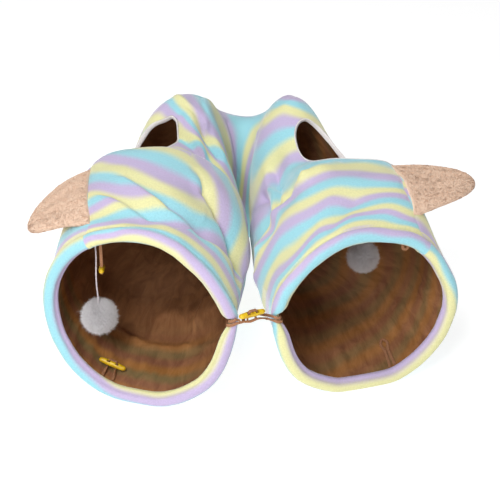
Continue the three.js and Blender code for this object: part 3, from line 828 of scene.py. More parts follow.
@dataclass(frozen=True)
class TubeForm:
    """The tunnel's skin: a section carried round a U, with soft folds along listed lines."""

    seam_depth: float = 1.0
    seam_width: float = 2.6
    seam_calm: float = 20.0
    lap_rise: float = 3.2
    lap_width: float = 2.4
    lap_reach: float = 19.0
    lap_fade: float = 8.0
    pucker: float = 0.45
    pucker_length: float = 23.0
    pucker_reach: float = 16.0
    pucker_stretch: float = 0.3
    pucker_drift: float = 400.0
    slack: float = 0.9
    slack_length: float = 85.0
    step_width: float = 2.4
    step_fade: float = 9.0
    floor_ease: float = 4.0
    pinch: float = 0.5
    pinch_deg: float = 181.6
    pinch_width: float = 9.0
    row_nudge: float = 0.1
    deg_nudge: float = 3.0

    def section(self, row: Array) -> dict[str, Array]:
        """Section values at any row, by a uniform Catmull-Rom spline through the table.

        Args:
            row: section rows.

        Returns:
            Values by column.
        """
        table = np.array(SECTIONS, float)
        ends = np.vstack([2 * table[0] - table[1], table, 2 * table[-1] - table[-2]])
        i = np.clip(np.floor(row).astype(int), 0, LAST_ROW - 1)
        f = (row - i)[..., None]
        a, b, c, d = (ends[i + k] for k in range(4))
        values = 0.5 * (
            2 * b + (c - a) * f + (2 * a - 5 * b + 4 * c - d) * f**2 + (3 * b - a - 3 * c + d) * f**3
        )
        return dict(zip(SECTION_COLUMNS, np.moveaxis(values, -1, 0)))

    def lines(self, row: Array, deg: Array, table: Sequence[tuple[float, ...]]) -> Array:
        """Rise of a table of lines: each rise fades with the distance d from its line as exp(-(d / width)^2).

        Args:
            row, deg: places.
            table: lines, as in FOLDS.

        Returns:
            Rise in millimetres.
        """
        rise = np.zeros(np.broadcast(row, deg).shape)
        for row_a, deg_a, row_b, deg_b, width, height in table:
            turned = degrees_from(deg_a, deg)
            along = np.array([(row_b - row_a) * ROW_STEP, (deg_b - deg_a) * DEG_STEP])
            place = np.stack(np.broadcast_arrays((row - row_a) * ROW_STEP, turned * DEG_STEP), -1)
            share = np.clip(place @ along / (along @ along), 0, 1)
            away = np.linalg.norm(place - share[..., None] * along, axis=-1)
            rise += height * np.exp(-((away / width) ** 2))
        return rise

    def steps(self, row: Array, deg: Array) -> Array:
        """Rise of the edges in STEPS: the hyperbolic tangent of the signed distance d from the line, times
        exp(-(d / reach)^2), fading in the same way past the line's ends.

        Args:
            row, deg: places.

        Returns:
            Rise in millimetres.
        """
        rise = np.zeros(np.broadcast(row, deg).shape)
        for row_a, deg_a, row_b, deg_b, reach, height in STEPS:
            along = np.array([(row_b - row_a) * ROW_STEP, (deg_b - deg_a) * DEG_STEP])
            length = np.linalg.norm(along)
            place = np.stack(np.broadcast_arrays((row - row_a) * ROW_STEP, (deg - deg_a) * DEG_STEP), -1)
            beside = (along[1] * place[..., 0] - along[0] * place[..., 1]) / length
            past = np.abs(place @ along / length - length / 2) - length / 2
            shown = np.exp(-((beside / reach) ** 2) - (np.maximum(0, past) / self.step_fade) ** 2)
            rise += height * np.tanh(beside / self.step_width) * shown
        return rise

    def relief(self, row: Array, deg: Array) -> Array:
        """All folds of the plush: the main ones, the creases in them, the edges where one cloth stands over
        the next, the seam's groove, the gathers behind the hems, and a slow unevenness.

        Args:
            row, deg: places, with deg from the seam up.

        Returns:
            Rise in millimetres.
        """
        rise = self.lines(row, deg, FOLDS) + self.lines(row, deg, CREASES) + self.steps(row, deg)
        from_seam = degrees_from(stops(SEAM, row), deg) * DEG_STEP
        slack = (self.slack_length, self.slack_length)
        loose = self.slack * ripple(deg * DEG_STEP, row * ROW_STEP, slack, SEED + 1)
        for zone in ZONES:
            loose = loose - self.lap_rise * self.lap(row, deg, zone)
        behind = (np.minimum(row, LAST_ROW - row) - HEM_ROWS) * ROW_STEP
        puckers = (self.pucker_length, self.pucker_drift)
        gathers = ripple(deg * DEG_STEP, self.pucker_stretch * row * ROW_STEP, puckers, SEED)
        loose = loose + self.pucker * gathers * np.exp(-((behind / self.pucker_reach) ** 2))
        rise += loose * (1 - np.exp(-((from_seam / self.seam_calm) ** 2)))
        return rise - self.seam_depth * np.exp(-((from_seam / self.seam_width) ** 2))

    def lap(self, row: Array, deg: Array, zone: "Zone") -> Array:
        """Step down from a fold's edge to the cloth behind it: the hyperbolic tangent of the distance d from
        the edge, times exp(-(d / reach)^2), between the degrees where the fold stands up.

        Args:
            row, deg: places.
            zone: the cloth in front of the fold.

        Returns:
            About -1 in front of the edge and 1 behind it.
        """
        slope = (stops(zone.edge, deg + 1) - stops(zone.edge, deg - 1)) / 2 * ROW_STEP / DEG_STEP
        away = -zone.inside(row, deg) / np.sqrt(1 + slope**2)
        first, last = zone.stands
        shown = smooth_step(first - self.lap_fade, first + self.lap_fade, deg)
        shown = shown * (1 - smooth_step(last - self.lap_fade, last + self.lap_fade, deg))
        return shown * np.tanh(away / self.lap_width) * np.exp(-((away / self.lap_reach) ** 2))

    def skin(self, row: Array, deg: Array, rise: Array | float = 0.0) -> Array:
        """Outer face: across is the half width times the cosine, up the height times the sine raised to a
        power that draws the inner side to a point; both grow by the rise. The floor holds it up.

        Args:
            row, deg: places.
            rise: how far it stands out.

        Returns:
            Points.
        """
        row, deg = np.broadcast_arrays(np.asarray(row, float), np.asarray(deg, float))
        s = self.section(row)
        c, n = np.cos(np.radians(deg)), np.sin(np.radians(deg))
        power = np.where((c < 0) & (n > 0), 1 + (s["tip"] - 1) * np.minimum(1, -2 * c), 1.0)
        across = c * np.where(c > 0, s["out"], s["inn"])
        up = blunt(n, power) * np.where(n > 0, s["top"] - s["mid"], s["mid"] + FLOOR_SINK)
        up = up + s["lift"] * np.maximum(0, -c) ** 3
        grown = 1 + rise / np.hypot(across, up)
        across, up = across * grown, up * grown
        above = smooth_step(-WAIST_SHARE, WAIST_SHARE, n)
        face, lean = np.radians(s["face"]), np.radians(s["foot"] + (s["lean"] - s["foot"]) * above)
        x = s["x"] + np.cos(face) * across + np.sin(face) * up * np.sin(lean)
        y = s["y"] + np.sin(face) * across - np.cos(face) * up * np.sin(lean)
        return np.stack([x, y, self.on_floor(s["mid"] + up * np.cos(lean))], -1)

    def on_floor(self, height: Array) -> Array:
        """Heights kept above the floor by a rounded corner: half of the height plus its softened size."""
        return (height + np.sqrt(height**2 + self.floor_ease**2)) / 2

    def hem_radius(self, deg: Array) -> Array:
        """Radius of a hem, which the tie pinches thin where the two mouths meet."""
        return HEM_RADIUS * (1 - self.pinch * np.exp(-(((deg - self.pinch_deg) / self.pinch_width) ** 2)))

    def axes(self, row: Array, deg: Array) -> tuple[Array, Array]:
        """Directions along the tube and outwards, from places a small step apart on the unfolded skin.

        Args:
            row, deg: places.

        Returns:
            Unit vectors along and outwards.
        """
        along = unit(self.skin(row + self.row_nudge, deg) - self.skin(row - self.row_nudge, deg))
        sideways = unit(self.skin(row, deg + self.deg_nudge) - self.skin(row, deg - self.deg_nudge))
        return along, unit(np.cross(sideways, along))

    def wall(self, row: Any, deg: Any, depth: float, rise: Array | None = None) -> Array:
        """Points at a depth inside the folded skin.

        Args:
            row, deg: places.
            depth: millimetres inwards.
            rise: folds to use instead of the solids' own.

        Returns:
            Points.
        """
        row, deg = np.broadcast_arrays(np.asarray(row, float), np.asarray(deg, float))
        folds = self.lines(row, deg, FOLDS) if rise is None else rise
        return self.skin(row, deg, folds) - depth * self.axes(row, deg)[1]

    def hem(self, at_end: bool, deg: Any, turn: Any, over: Any, rise: Array | None = None) -> Array:
        """Points round a rolled hem: turn 90 is its outer side, 0 its front and -90 its inner side.

        Args:
            at_end: the right mouth, not the left.
            deg: degrees round the tube.
            turn: degrees round the hem.
            over: height over the hem's cloth.
            rise: folds to use instead of the solids' own.

        Returns:
            Points.
        """
        row = LAST_ROW - HEM_RADIUS / ROW_STEP if at_end else HEM_RADIUS / ROW_STEP
        deg = np.asarray(deg, float)
        row = np.full(deg.shape, row)
        along, normal = self.axes(row, deg)
        angle = np.radians(np.asarray(turn, float))[..., None]
        radius = self.hem_radius(deg)[..., None]
        middle = self.wall(row, deg, 0.0, rise) - (radius - HEM_PROUD) * normal
        way = np.sin(angle) * normal + (1 if at_end else -1) * np.cos(angle) * along
        point = middle + (radius + np.asarray(over)[..., None]) * way
        point[..., 2] = self.on_floor(point[..., 2])
        return point

    def lining(self, row: Any, deg: Any, height: float) -> Array:
        """Points at a height over the lining's bare face."""
        return self.wall(row, deg, INSIDE + height)


@dataclass(frozen=True)
class Zone:
    """Cloth in front of a fold of the left arm, whose stripes don't meet those behind the fold."""

    name: str
    lines: Sequence[tuple[Any, ...]]
    edge: Sequence[Pair]
    stands: Pair

    def inside(self, row: Array, deg: Array) -> Array:
        """Millimetres in front of the fold's edge, along the tube."""
        return (stops(self.edge, deg) - row) * ROW_STEP


@dataclass(frozen=True)
class StripeCloth:
    """Where the stripes of the plush run: the repeats at any place, drawn smoothly through listed stripe lines.
    Cloth in front of a fold has lines of its own, and so has the outer flank."""

    soft: float = 12.0
    ease: float = 6.0
    repeat_length: float = 58.0
    outer_from: float = 262.0
    outer_deg: float = 335.0
    outer_slant: float = 0.12
    outer_phase: float = -0.47
    hem_share: float = 0.45
    # The band values place the lining's painted light: bands of the stripes glowing through the cloth near each
    # mouth.
    band_rows: Pair = (0.85, 1.1)
    band_start: Pair = (1.25, 18.15)
    band_deg: Pair = (269.0, 257.0)
    band_slant: Pair = (0.003, -0.022)
    band_reach: Pair = (2.4, 9.0)
    band_strength: Pair = (1.0, 0.62)
    band_fade: Pair = (0.6, 1.2)
    band_side: Pair = (215.0, 250.0)
    flank_steps: int = 401
    plane_unit: float = 1000.0
    parts: int = 16

    def repeats(self, row: Array, deg: Array, lines: Sequence[tuple[Any, ...]]) -> Array:
        """Repeats by a multiquadric fit: a plane plus, for each mark, a weight times the square root of its
        squared distance plus a softness squared.

        Args:
            row, deg: places.
            lines: repeat, stripe and places of each line.

        Returns:
            Repeats, whose fraction picks the colour.
        """
        marks = [(*place, repeat + stripe.middle) for repeat, stripe, places in lines for place in places]
        table = np.array(marks, float)
        at = table[:, :2] * (ROW_STEP, DEG_STEP)
        count = len(at)
        plane = np.column_stack([np.ones(count), at / self.plane_unit])
        system = np.zeros((count + 3, count + 3))
        system[:count, :count] = self.away(at, at) + self.ease * np.eye(count)
        system[:count, count:] = plane
        system[count:, :count] = plane.T
        weights = np.linalg.solve(system, np.concatenate([table[:, 2], np.zeros(3)]))
        wanted = np.stack([row * ROW_STEP, deg * DEG_STEP], -1).reshape(-1, 2)
        parts = [self.away(part, at) @ weights[:count] for part in np.array_split(wanted, self.parts)]
        fitted = np.concatenate(parts) + weights[count] + wanted / self.plane_unit @ weights[count + 1:]
        return fitted.reshape(row.shape)

    def away(self, places: Array, marks: Array) -> Array:
        """Softened distances from places to marks, negative."""
        squares = ((places[:, None] - marks[None]) ** 2).sum(-1)
        return -np.sqrt(squares + self.soft**2)

    def values(self, row: Array, deg: Array, form: TubeForm) -> dict[str, Array]:
        """What the plush's material reads.

        Args:
            row, deg: places, with deg from the seam up.
            form: the tube.

        Returns:
            Values by attribute name.
        """
        values = {"stripe_arm": self.repeats(row, deg, ARM_STRIPES)}
        for zone in ZONES:
            values["stripe_" + zone.name] = self.repeats(row, deg, zone.lines)
            values["inside_" + zone.name] = zone.inside(row, deg)
        values["stripe_outer"] = self.outer(row, deg, form)
        off_hem = (np.minimum(row, LAST_ROW - row) - self.hem_share) * ROW_STEP
        values["inside_outer"] = np.minimum((deg - self.outer_from) * DEG_STEP, off_hem)
        return values

    def outer(self, row: Array, deg: Array, form: TubeForm) -> Array:
        """Repeats on the outer flank: the length of the flank from the left mouth, over the length of a
        repeat, slanted a little.

        Args:
            row, deg: places.
            form: the tube.

        Returns:
            Repeats.
        """
        steps = np.linspace(0, LAST_ROW, self.flank_steps)
        run = run_along(form.skin(steps, self.outer_deg))
        slant = self.outer_slant * (deg - self.outer_deg) * DEG_STEP
        return (np.interp(row, steps, run) + slant) / self.repeat_length + self.outer_phase

    def lining(self, row: Array, deg: Array) -> dict[str, Array]:
        """What the lining's material reads: painted light, as bands of the plush's stripes glowing through the
        cloth round each arm, slanted like the plush outside, that show near the mouths and fade towards the
        inner side and the bend.

        Args:
            row, deg: places, with deg from the seam up.

        Returns:
            Values by attribute name.
        """
        right = row > LAST_ROW / 2
        places = (self.band_rows, self.band_start, self.band_deg, self.band_slant)
        sizes = (*places, self.band_reach, self.band_strength)
        period, start, at, slant, reach, strength = (np.where(right, *pair[::-1]) for pair in sizes)
        bands = (row - slant * (deg - at) - start) / period + Stripe.YELLOW.middle
        deep = np.minimum(row, LAST_ROW - row) / reach
        shown = strength * (1 - smooth_step(*self.band_fade, deep)) * smooth_step(*self.band_side, deg)
        return {"stripe_lining": bands, "band_share": shown}


LAVENDER, AQUA, YELLOW = Stripe
# Stripe lines of the tube's cloth: the repeat, the stripe, and places along the stripe's middle.
ARM_STRIPES = (
    (1, YELLOW, ((3.65, 109.5), (3.3, 120), (2.95, 124), (2.65, 127.5), (2.4, 133), (5.6, 114))),
    (2, LAVENDER, ((3.62, 120.5), (3.1, 130), (2.55, 137.5), (2.22, 144.5), (4.3, 90), (5.55, 100))),
    (2, LAVENDER, ((2.6, 300), (1.6, 380))),
    (2, AQUA, ((3.85, 133.5), (3.33, 143.3), (2.7, 148.5), (2.25, 151), (5.8, 90))),
    (2, YELLOW, ((3.25, 157), (2.5, 158.5), (2, 160))),
    (3, LAVENDER, ((2.1, 171), (2.6, 170), (3.1, 169), (6.15, 92), (6.4, 84), (6.75, 71))),
    (3, LAVENDER, ((2.4, 230), (3.8, 300), (3.2, 390))),
    (3, AQUA, ((2.3, 184), (3, 182), (5.85, 111), (6.1, 102), (6.3, 94.5), (6.45, 86), (7, 73))),
    (3, YELLOW, ((6.3, 108.5), (6.55, 98), (6.85, 88), (7.05, 80))),
    (4, LAVENDER, ((6.35, 117), (6.75, 109), (7, 100), (7.35, 89), (4.6, 235), (5.4, 300), (4.9, 390))),
    (4, AQUA, ((7, 122), (7.3, 113), (7.9, 100), (7, 135))),
    (4, YELLOW, ((8.5, 133), (8.65, 140), (8.7, 150), (8.3, 95))),
    (5, LAVENDER, ((9.1, 146), (9.15, 160), (9.05, 90), (12.9, 95), (13.05, 86))),
    (5, LAVENDER, ((7, 235), (7.2, 300), (6.8, 390))),
    (5, AQUA, ((9.5, 90), (10.2, 118), (12.85, 106), (13.15, 98), (13.3, 87))),
    (5, YELLOW, ((10.8, 122), (12.95, 125), (13.1, 116), (13.15, 105.5), (13.4, 99.5))),
    (6, LAVENDER, ((10.6, 155), (12.4, 145), (13.3, 131), (13.4, 121), (13.6, 110), (13.75, 104.5))),
    (6, LAVENDER, ((9.4, 300), (9.2, 390))),
    (6, AQUA, ((11.2, 160), (13.6, 152), (13.7, 140), (13.85, 125), (13.98, 116), (14, 106))),
    (6, YELLOW, ((11.2, 184), (14.4, 151), (14.3, 138), (14.3, 128), (14.35, 120.5))),
    (6, YELLOW, ((14.4, 110), (14.35, 104.5))),
    (7, LAVENDER, ((14.6, 131), (14.75, 119.5), (14.75, 110), (14.85, 104), (15.2, 150), (16.3, 160))),
    (7, LAVENDER, ((12.6, 250), (12.2, 390))),
    (7, AQUA, ((14.9, 128), (15, 119), (15.3, 114), (16.6, 107), (16.2, 148), (17.3, 158))),
    (7, YELLOW, ((16.7, 122), (17, 117), (17.05, 113), (16.65, 88), (16.65, 78.5), (17.1, 69))),
    (7, YELLOW, ((17.25, 61), (16.7, 140), (16.85, 148))),
    (8, LAVENDER, ((17, 142), (17.2, 108), (17.15, 97), (17.25, 87.5), (17.55, 75), (17.7, 62))),
    (8, LAVENDER, ((15.4, 240), (14.9, 310), (15.3, 390))),
    (8, AQUA, ((17.55, 120), (17.6, 110.5), (17.6, 100), (17.73, 92), (17.87, 82.5))),
    (8, AQUA, ((18.1, 70), (18.1, 62.5))),
    (8, YELLOW, ((17.95, 158), (17.9, 153), (17.7, 134), (17.93, 121), (17.97, 112), (17.95, 102))),
    (8, YELLOW, ((18.15, 93), (18.22, 87), (18.2, 77), (18.3, 67.5), (18.35, 63))),
    (9, LAVENDER, ((18.15, 169), (18.2, 162), (18.2, 154), (18.12, 144), (18.18, 133), (18.28, 120.5))),
    (9, LAVENDER, ((18.33, 112.5), (18.2, 106), (18.37, 97.5), (18.55, 93.5), (18.45, 85.5), (18.45, 77.5))),
    (9, LAVENDER, ((18.5, 69.5), (18.6, 62), (17.4, 230), (16.6, 300), (17.6, 350), (18.4, 395))),
    (9, AQUA, ((18.5, 176), (18.55, 163), (18.55, 153.5), (18.45, 143), (18.58, 126), (18.65, 117.5))),
    (9, AQUA, ((18.62, 110), (18.6, 103.5), (18.75, 97.5), (18.75, 88.5), (18.7, 78.5))),
    (9, AQUA, ((18.77, 70), (18.92, 64))),
    (9, YELLOW, ((18.9, 177), (18.85, 166), (18.8, 157.5), (18.8, 147.5), (19.05, 137), (19.15, 128))),
    (9, YELLOW, ((18.9, 114), (18.95, 107.5), (19.1, 101.5), (18.92, 92.5), (18.97, 82), (19, 74))),
    (9, YELLOW, ((19.1, 68), (19.25, 60.5))),
    (10, LAVENDER, ((19.1, 178), (19.15, 163), (19.1, 154.5), (19.3, 145), (19.33, 138), (19.1, 120))),
    (10, LAVENDER, ((19.15, 113), (19.25, 106), (19.1, 98.5), (19.1, 91), (19.15, 82.5), (19.15, 75))),
    (10, LAVENDER, ((19.25, 70), (19.37, 64), (19.4, 57), (18.5, 230))),
    (10, LAVENDER, ((17.9, 300), (18.6, 350), (19.3, 395))),
    (10, AQUA, ((19.55, 178), (19.5, 163), (19.45, 152), (19.26, 122), (19.35, 116), (19.42, 107))),
    (10, AQUA, ((19.3, 100), (19.22, 93), (19.3, 83), (19.3, 75), (19.45, 70.5), (19.5, 60.5), (19.4, 52))),
    (10, YELLOW, ((19.7, 128), (19.6, 119), (19.65, 110.5), (19.5, 103.5), (19.47, 93.5), (19.57, 80))),
    (10, YELLOW, ((19.7, 70), (19.62, 60.5), (19.55, 50.5))),
    (11, AQUA, ((20, 62), (20, 90), (20, 120), (20, 150), (20, 172))),
    (11, YELLOW, ((20.3, 115), (20.3, 145), (20.3, 172), (20, 195), (20, 230), (20, 270))),
    (11, YELLOW, ((20, 310), (20, 350), (20, 400))),
    (12, LAVENDER, ((20.32, 195), (20.38, 230), (20.38, 270), (20.38, 310), (20.38, 350), (20.38, 400))),
)
# Stripe lines in front of the fold down the left shoulder.
SHOULDER_STRIPES = (
    (0, LAVENDER, ((1.5, 132), (1.65, 143), (1.62, 155))),
    (0, AQUA, ((2.7, 52), (2.5, 62), (1.62, 97.5), (1.52, 109), (1.5, 121), (1.85, 134))),
    (0, YELLOW, ((3.4, 51), (2.95, 60), (2.8, 68.5), (2.42, 79), (2.08, 91), (1.9, 100.5), (1.87, 110))),
    (0, YELLOW, ((1.95, 120), (2.05, 129))),
    (1, LAVENDER, ((3.3, 64.5), (3.07, 77), (2.68, 90.5), (2.4, 100), (2.45, 110.5))),
    (1, LAVENDER, ((2.57, 121.5), (2.62, 126))),
    (1, AQUA, ((3.7, 72.5), (3.42, 83), (3.2, 98), (3.07, 108.5), (2.85, 117))),
    (1, YELLOW, ((4, 87), (3.85, 99), (3.65, 109.5), (3.3, 120), (2.95, 124))),
    (2, LAVENDER, ((3.62, 120.5), (4.3, 90), (4.15, 105))),
)
# Stripe lines in front of the fold across the left shoulder.
LAP_STRIPES = (
    (0, AQUA, ((2.7, 52), (2.5, 62), (2.2, 73))),
    (0, LAVENDER, ((2.15, 52), (1.75, 76), (1.65, 85))),
    (-1, YELLOW, ((1.8, 53.5), (1.3, 85), (1.4, 95.5))),
    (-1, AQUA, ((1.12, 95), (1.1, 105))),
    (-1, LAVENDER, ((1, 110), (1.05, 119))),
    (-2, YELLOW, ((0.95, 128),)),
)
# Stripe lines of the cuff at the left mouth, and of its hem.
CUFF_STRIPES = (
    (-3, YELLOW, ((-0.02, 60), (-0.02, 80), (-0.1, 98), (-0.12, 112), (-0.2, 126))),
    (-3, YELLOW, ((-0.26, 145), (-0.28, 170), (-0.25, 210), (-0.4, 240))),
    (-3, YELLOW, ((-0.42, 290), (-0.52, 320), (-0.52, 360), (-0.52, 400))),
    (-2, LAVENDER, ((0.2, 79.5), (0.22, 90), (0.15, 101.5), (0.18, 111.5), (0.1, 122), (0.06, 132))),
    (-2, LAVENDER, ((0.04, 142), (0.03, 151), (0, 163), (-0.02, 176), (0.03, 195), (-0.08, 235))),
    (-2, LAVENDER, ((-0.14, 270), (-0.3, 300), (-0.36, 330), (-0.36, 360), (-0.36, 400))),
    (-2, AQUA, ((0.32, 90), (0.42, 117), (0.36, 125), (0.33, 134.5), (0.28, 145), (0.26, 160), (0.3, 200))),
    (-2, AQUA, ((0.25, 250), (0, 300), (0, 350), (0, 400))),
    (-2, YELLOW, ((0.28, 73), (0.42, 85), (0.52, 99), (0.58, 109), (0.66, 128), (0.62, 138), (0.54, 147.5))),
    (-2, YELLOW, ((0.5, 156), (0.46, 164), (0.6, 200), (0.5, 250), (0.3, 300), (0.3, 350), (0.3, 400))),
    (-1, LAVENDER, ((0.5, 70.5), (0.67, 79.5), (0.85, 88.5), (0.98, 132), (0.9, 142))),
    (-1, LAVENDER, ((0.8, 152), (0.76, 162))),
    (-1, AQUA, ((0.68, 58), (0.85, 71), (1.02, 81))),
    (-1, YELLOW, ((0.9, 57), (1.1, 66))),
    (0, LAVENDER, ((1.17, 56), (1.3, 65))),
    (0, AQUA, ((1.4, 55), (1.55, 62))),
    (0, YELLOW, ((1.8, 53.5),)),
)
ZONES = (
    Zone("shoulder", SHOULDER_STRIPES, SHOULDER_EDGE, (118, 162)),
    Zone("lap", LAP_STRIPES, LAP_EDGE, (72, 180)),
    Zone("cuff", CUFF_STRIPES, CUFF_EDGE, (60, 108)),
)


@dataclass(frozen=True)
class PeekHole:
    """An oval hole at a shoulder of the bend, pulled askew by its slant in degrees for each row, with its
    white binding."""

    side: Side
    row: float
    deg: float
    half_rows: float
    half_deg: float
    inset: float
    slant: float
    half_width: float = 1.6
    half_height: float = 3.5
    tucked: float = 1.2
    steps: int = 120
    ring: int = 14
    pucker: float = 0.07
    pucker_length: float = 9.0
    pucker_radius: float = 50.0
    flatness: float = 0.8
    map_size: Pair = (0.33, 0.02)
    nearest: float = 0.05

    def halves(self, inset: float) -> Pair:
        """Half sizes of the oval in rows and degrees, at an inset in millimetres from the solids' hole."""
        return self.half_rows - inset / ROW_STEP, self.half_deg - inset / DEG_STEP

    def measure(self, row: Array, deg: Array) -> Array:
        """Distance from the middle of the hole, as a share of the way to the cloth's cut edge.

        Args:
            row, deg: places.

        Returns:
            Shares, 1 on the edge, which the binding covers.
        """
        half_rows, half_deg = self.halves(self.inset - self.tucked)
        turned = degrees_from(self.deg, deg) - self.slant * (row - self.row)
        return np.hypot((row - self.row) / half_rows, turned / half_deg)

    def snap(self, row: Array, deg: Array) -> tuple[Array, Array]:
        """Places inside the hole, moved straight out to its edge.

        Args:
            row, deg: places.

        Returns:
            Rows and degrees.
        """
        scale = 1 / np.clip(self.measure(row, deg), self.nearest, 1.0)
        turned = degrees_from(self.deg, deg)
        return row + (row - self.row) * (scale - 1), deg + turned * (scale - 1)

    def binding(self, form: TubeForm, material: Material) -> Object:
        """Folded tape over the cut edge: a ring carried round the hole's outline, a little uneven.

        Args:
            form: the tube.
            material: its finish.

        Returns:
            The object.
        """
        angle = np.linspace(0, 2 * np.pi, self.steps, endpoint=False)
        half_rows, half_deg = self.halves(self.inset)
        row = self.row + half_rows * np.cos(angle)
        deg = self.deg + half_deg * np.sin(angle) + self.slant * (row - self.row)
        place = form.wall(row, deg, INSIDE / 2, form.relief(row, deg))
        normal = form.axes(row, deg)[1]
        outward = place - form.wall(self.row, self.deg, 0.0)
        outward = unit(outward - (outward * normal).sum(-1, keepdims=True) * normal)
        turn = np.linspace(0, 2 * np.pi, self.ring, endpoint=False)[None, :, None]
        lengths = (self.pucker_length, self.pucker_length)
        uneven = ripple(angle * self.pucker_radius, 0 * angle, lengths, SEED)
        pucker = 1 + self.pucker * uneven[:, None, None]
        wide = self.half_width * blunt(np.cos(turn), self.flatness)
        tall = self.half_height * np.sin(turn)
        points = place[:, None] + pucker * (wide * outward[:, None] + tall * normal[:, None])
        points = np.concatenate([points, points[:1]])
        length = np.linspace(0, self.map_size[0], self.steps + 1)[:, None]
        girth = np.linspace(0, self.map_size[1], self.ring)[None]
        uv = np.stack(np.broadcast_arrays(length, girth), -1)
        name = f"peek_binding_{self.side.value}"
        faces = grid_faces(self.steps + 1, self.ring, closed=True)[:, ::-1]
        return Piece(name + "_tape", points, faces, uv).place(material, "binding", name)


PEEK_HOLES = (
    PeekHole(Side.LEFT, 5.4, 62.5, 1.1, 32, 5.85, 9),
    PeekHole(Side.RIGHT, 15.0, 75, 1.35, 31, 4.9, -10),
)


@dataclass(frozen=True)
class ClothTube:
    """The two cloths of the tube, the plush and its lining, each one sheet cut along the seam."""

    form: TubeForm
    stripes: StripeCloth
    columns: int = 240
    rows: int = 340
    hem_steps: int = 20
    hem_from: float = -170.0
    hem_to: float = 140.0
    groove: float = 2.6
    groove_turn: float = -58.0
    groove_width: float = 15.0
    crowding: float = 0.5
    crowded_at: float = 0.2
    tuck_row: float = 0.42
    tuck_depth: float = 4.6
    tuck_cloth: float = 0.1
    lining_columns: int = 200
    lining_rows: int = 270
    crinkle: float = 1.1
    crease_lengths: Pair = (34.0, 190.0)
    crease_width: float = 0.35
    crumple_lengths: Pair = (60.0, 70.0)
    crumple_width: float = 0.25
    crumple_share: float = 0.8
    calm_rows: float = 0.35
    plush_flat: Pair = (0.78, 1.2)
    lining_flat: Pair = (0.75, 1.16)

    def degrees(self, row: Array, columns: int) -> Array:
        """Directions of a ring's points, once round from the seam at each row, crowded by a cosine on the
        side where most of the folds are.

        Args:
            row: section rows.
            columns: steps round the ring.

        Returns:
            Degrees, a row of them for each section.
        """
        share = np.linspace(0, 1, columns + 1)
        start = 2 * np.pi * (self.crowded_at - 0.25)
        wave = np.cos(2 * np.pi * share - start) - np.cos(start)
        turned = 360 * (share + self.crowding * wave / (2 * np.pi))
        return stops(SEAM, np.clip(row, 0, LAST_ROW))[:, None] + turned[None]

    def cut(self, row: Array, deg: Array) -> tuple[Array, Array, Array]:
        """Cuts the peek holes out of a grid of places.

        Args:
            row, deg: places on a grid.

        Returns:
            Rows, degrees, and the quads that stay.
        """
        faces = grid_faces(*row.shape)
        for hole in PEEK_HOLES:
            inside = (hole.measure(row, deg) < 1).reshape(-1)
            faces = faces[~inside[faces].all(axis=1)]
            moved = hole.snap(row, deg)
            row = np.where(inside.reshape(row.shape), moved[0], row)
            deg = np.where(inside.reshape(row.shape), moved[1], deg)
        return row, deg, faces

    def trimmed(self, piece: Piece) -> Piece:
        """Drops the points that no face uses.

        Args:
            piece: a piece on a grid.

        Returns:
            The same piece.
        """
        used, faces = np.unique(piece.faces, return_inverse=True)
        piece.faces = faces.reshape(-1, 4)
        piece.points = piece.points.reshape(-1, 3)[used]
        piece.uv = piece.uv.reshape(-1, 2)[used]
        piece.values = {name: values.reshape(-1)[used] for name, values in piece.values.items()}
        return piece

    def flat_map(self, row: Array, deg: Array) -> Array:
        """Places on the cloth laid flat, in metres."""
        return np.stack([deg * DEG_STEP * MM, row * ROW_STEP * MM], -1)

    def hem_rings(self, at_end: bool) -> tuple[Array, Array, Array]:
        """Rings of the plush from its tucked edge round a hem to the wall.

        Args:
            at_end: the right mouth, not the left.

        Returns:
            Points, cloth rows and degrees, in order from the tucked edge.
        """
        turns = np.linspace(self.hem_from, self.hem_to, self.hem_steps)
        mouth = float(LAST_ROW) if at_end else 0.0
        inwards = -1.0 if at_end else 1.0
        deg = np.repeat(self.degrees(np.array([mouth]), self.columns), self.hem_steps, axis=0)
        rise = self.form.relief(np.full(deg.shape, mouth + inwards * HEM_RADIUS / ROW_STEP), deg)
        stitched = -self.groove * np.exp(-(((turns - self.groove_turn) / self.groove_width) ** 2))
        turn, over = (np.broadcast_to(column[:, None], deg.shape) for column in (turns, stitched))
        points = self.form.hem(at_end, deg, turn, over, rise)
        rolled = np.radians(self.hem_to - turns) * HEM_RADIUS / ROW_STEP
        cloth = mouth + inwards * (HEM_ROWS - rolled)
        tuck = np.full((1, deg.shape[1]), mouth + inwards * self.tuck_row)
        tucked = self.form.wall(tuck, deg[:1], self.tuck_depth, self.form.relief(tuck, deg[:1]))
        cloth = np.concatenate([cloth[:1] - inwards * self.tuck_cloth, cloth])
        return np.concatenate([tucked, points]), cloth, np.concatenate([deg[:1], deg])

    def plush(self, material: Material) -> Object:
        """The striped plush: a wall with every fold, rolled over a hem at each mouth and tucked inside.

        Args:
            material: its finish.

        Returns:
            The object.
        """
        wall_rows = np.linspace(HEM_ROWS, LAST_ROW - HEM_ROWS, self.rows)
        deg = self.degrees(wall_rows, self.columns)
        start, start_rows, start_deg = self.hem_rings(False)
        end, end_rows, end_deg = self.hem_rings(True)
        cloth_rows = np.concatenate([start_rows, wall_rows, end_rows[::-1]])
        row = np.broadcast_to(cloth_rows[:, None], (len(cloth_rows), deg.shape[1]))
        deg = np.concatenate([start_deg, deg, end_deg[::-1]])
        row, deg, faces = self.cut(row, deg)
        wall = slice(len(start), len(start) + self.rows)
        middle = self.form.wall(row[wall], deg[wall], 0.0, self.form.relief(row[wall], deg[wall]))
        points = np.concatenate([start, middle, end[::-1]])
        values = self.stripes.values(row, deg, self.form)
        piece = self.trimmed(Piece("plush_cloth", points, faces, self.flat_map(row, deg), values))
        made = piece.place(material, "plush", "plush_tube")
        return made

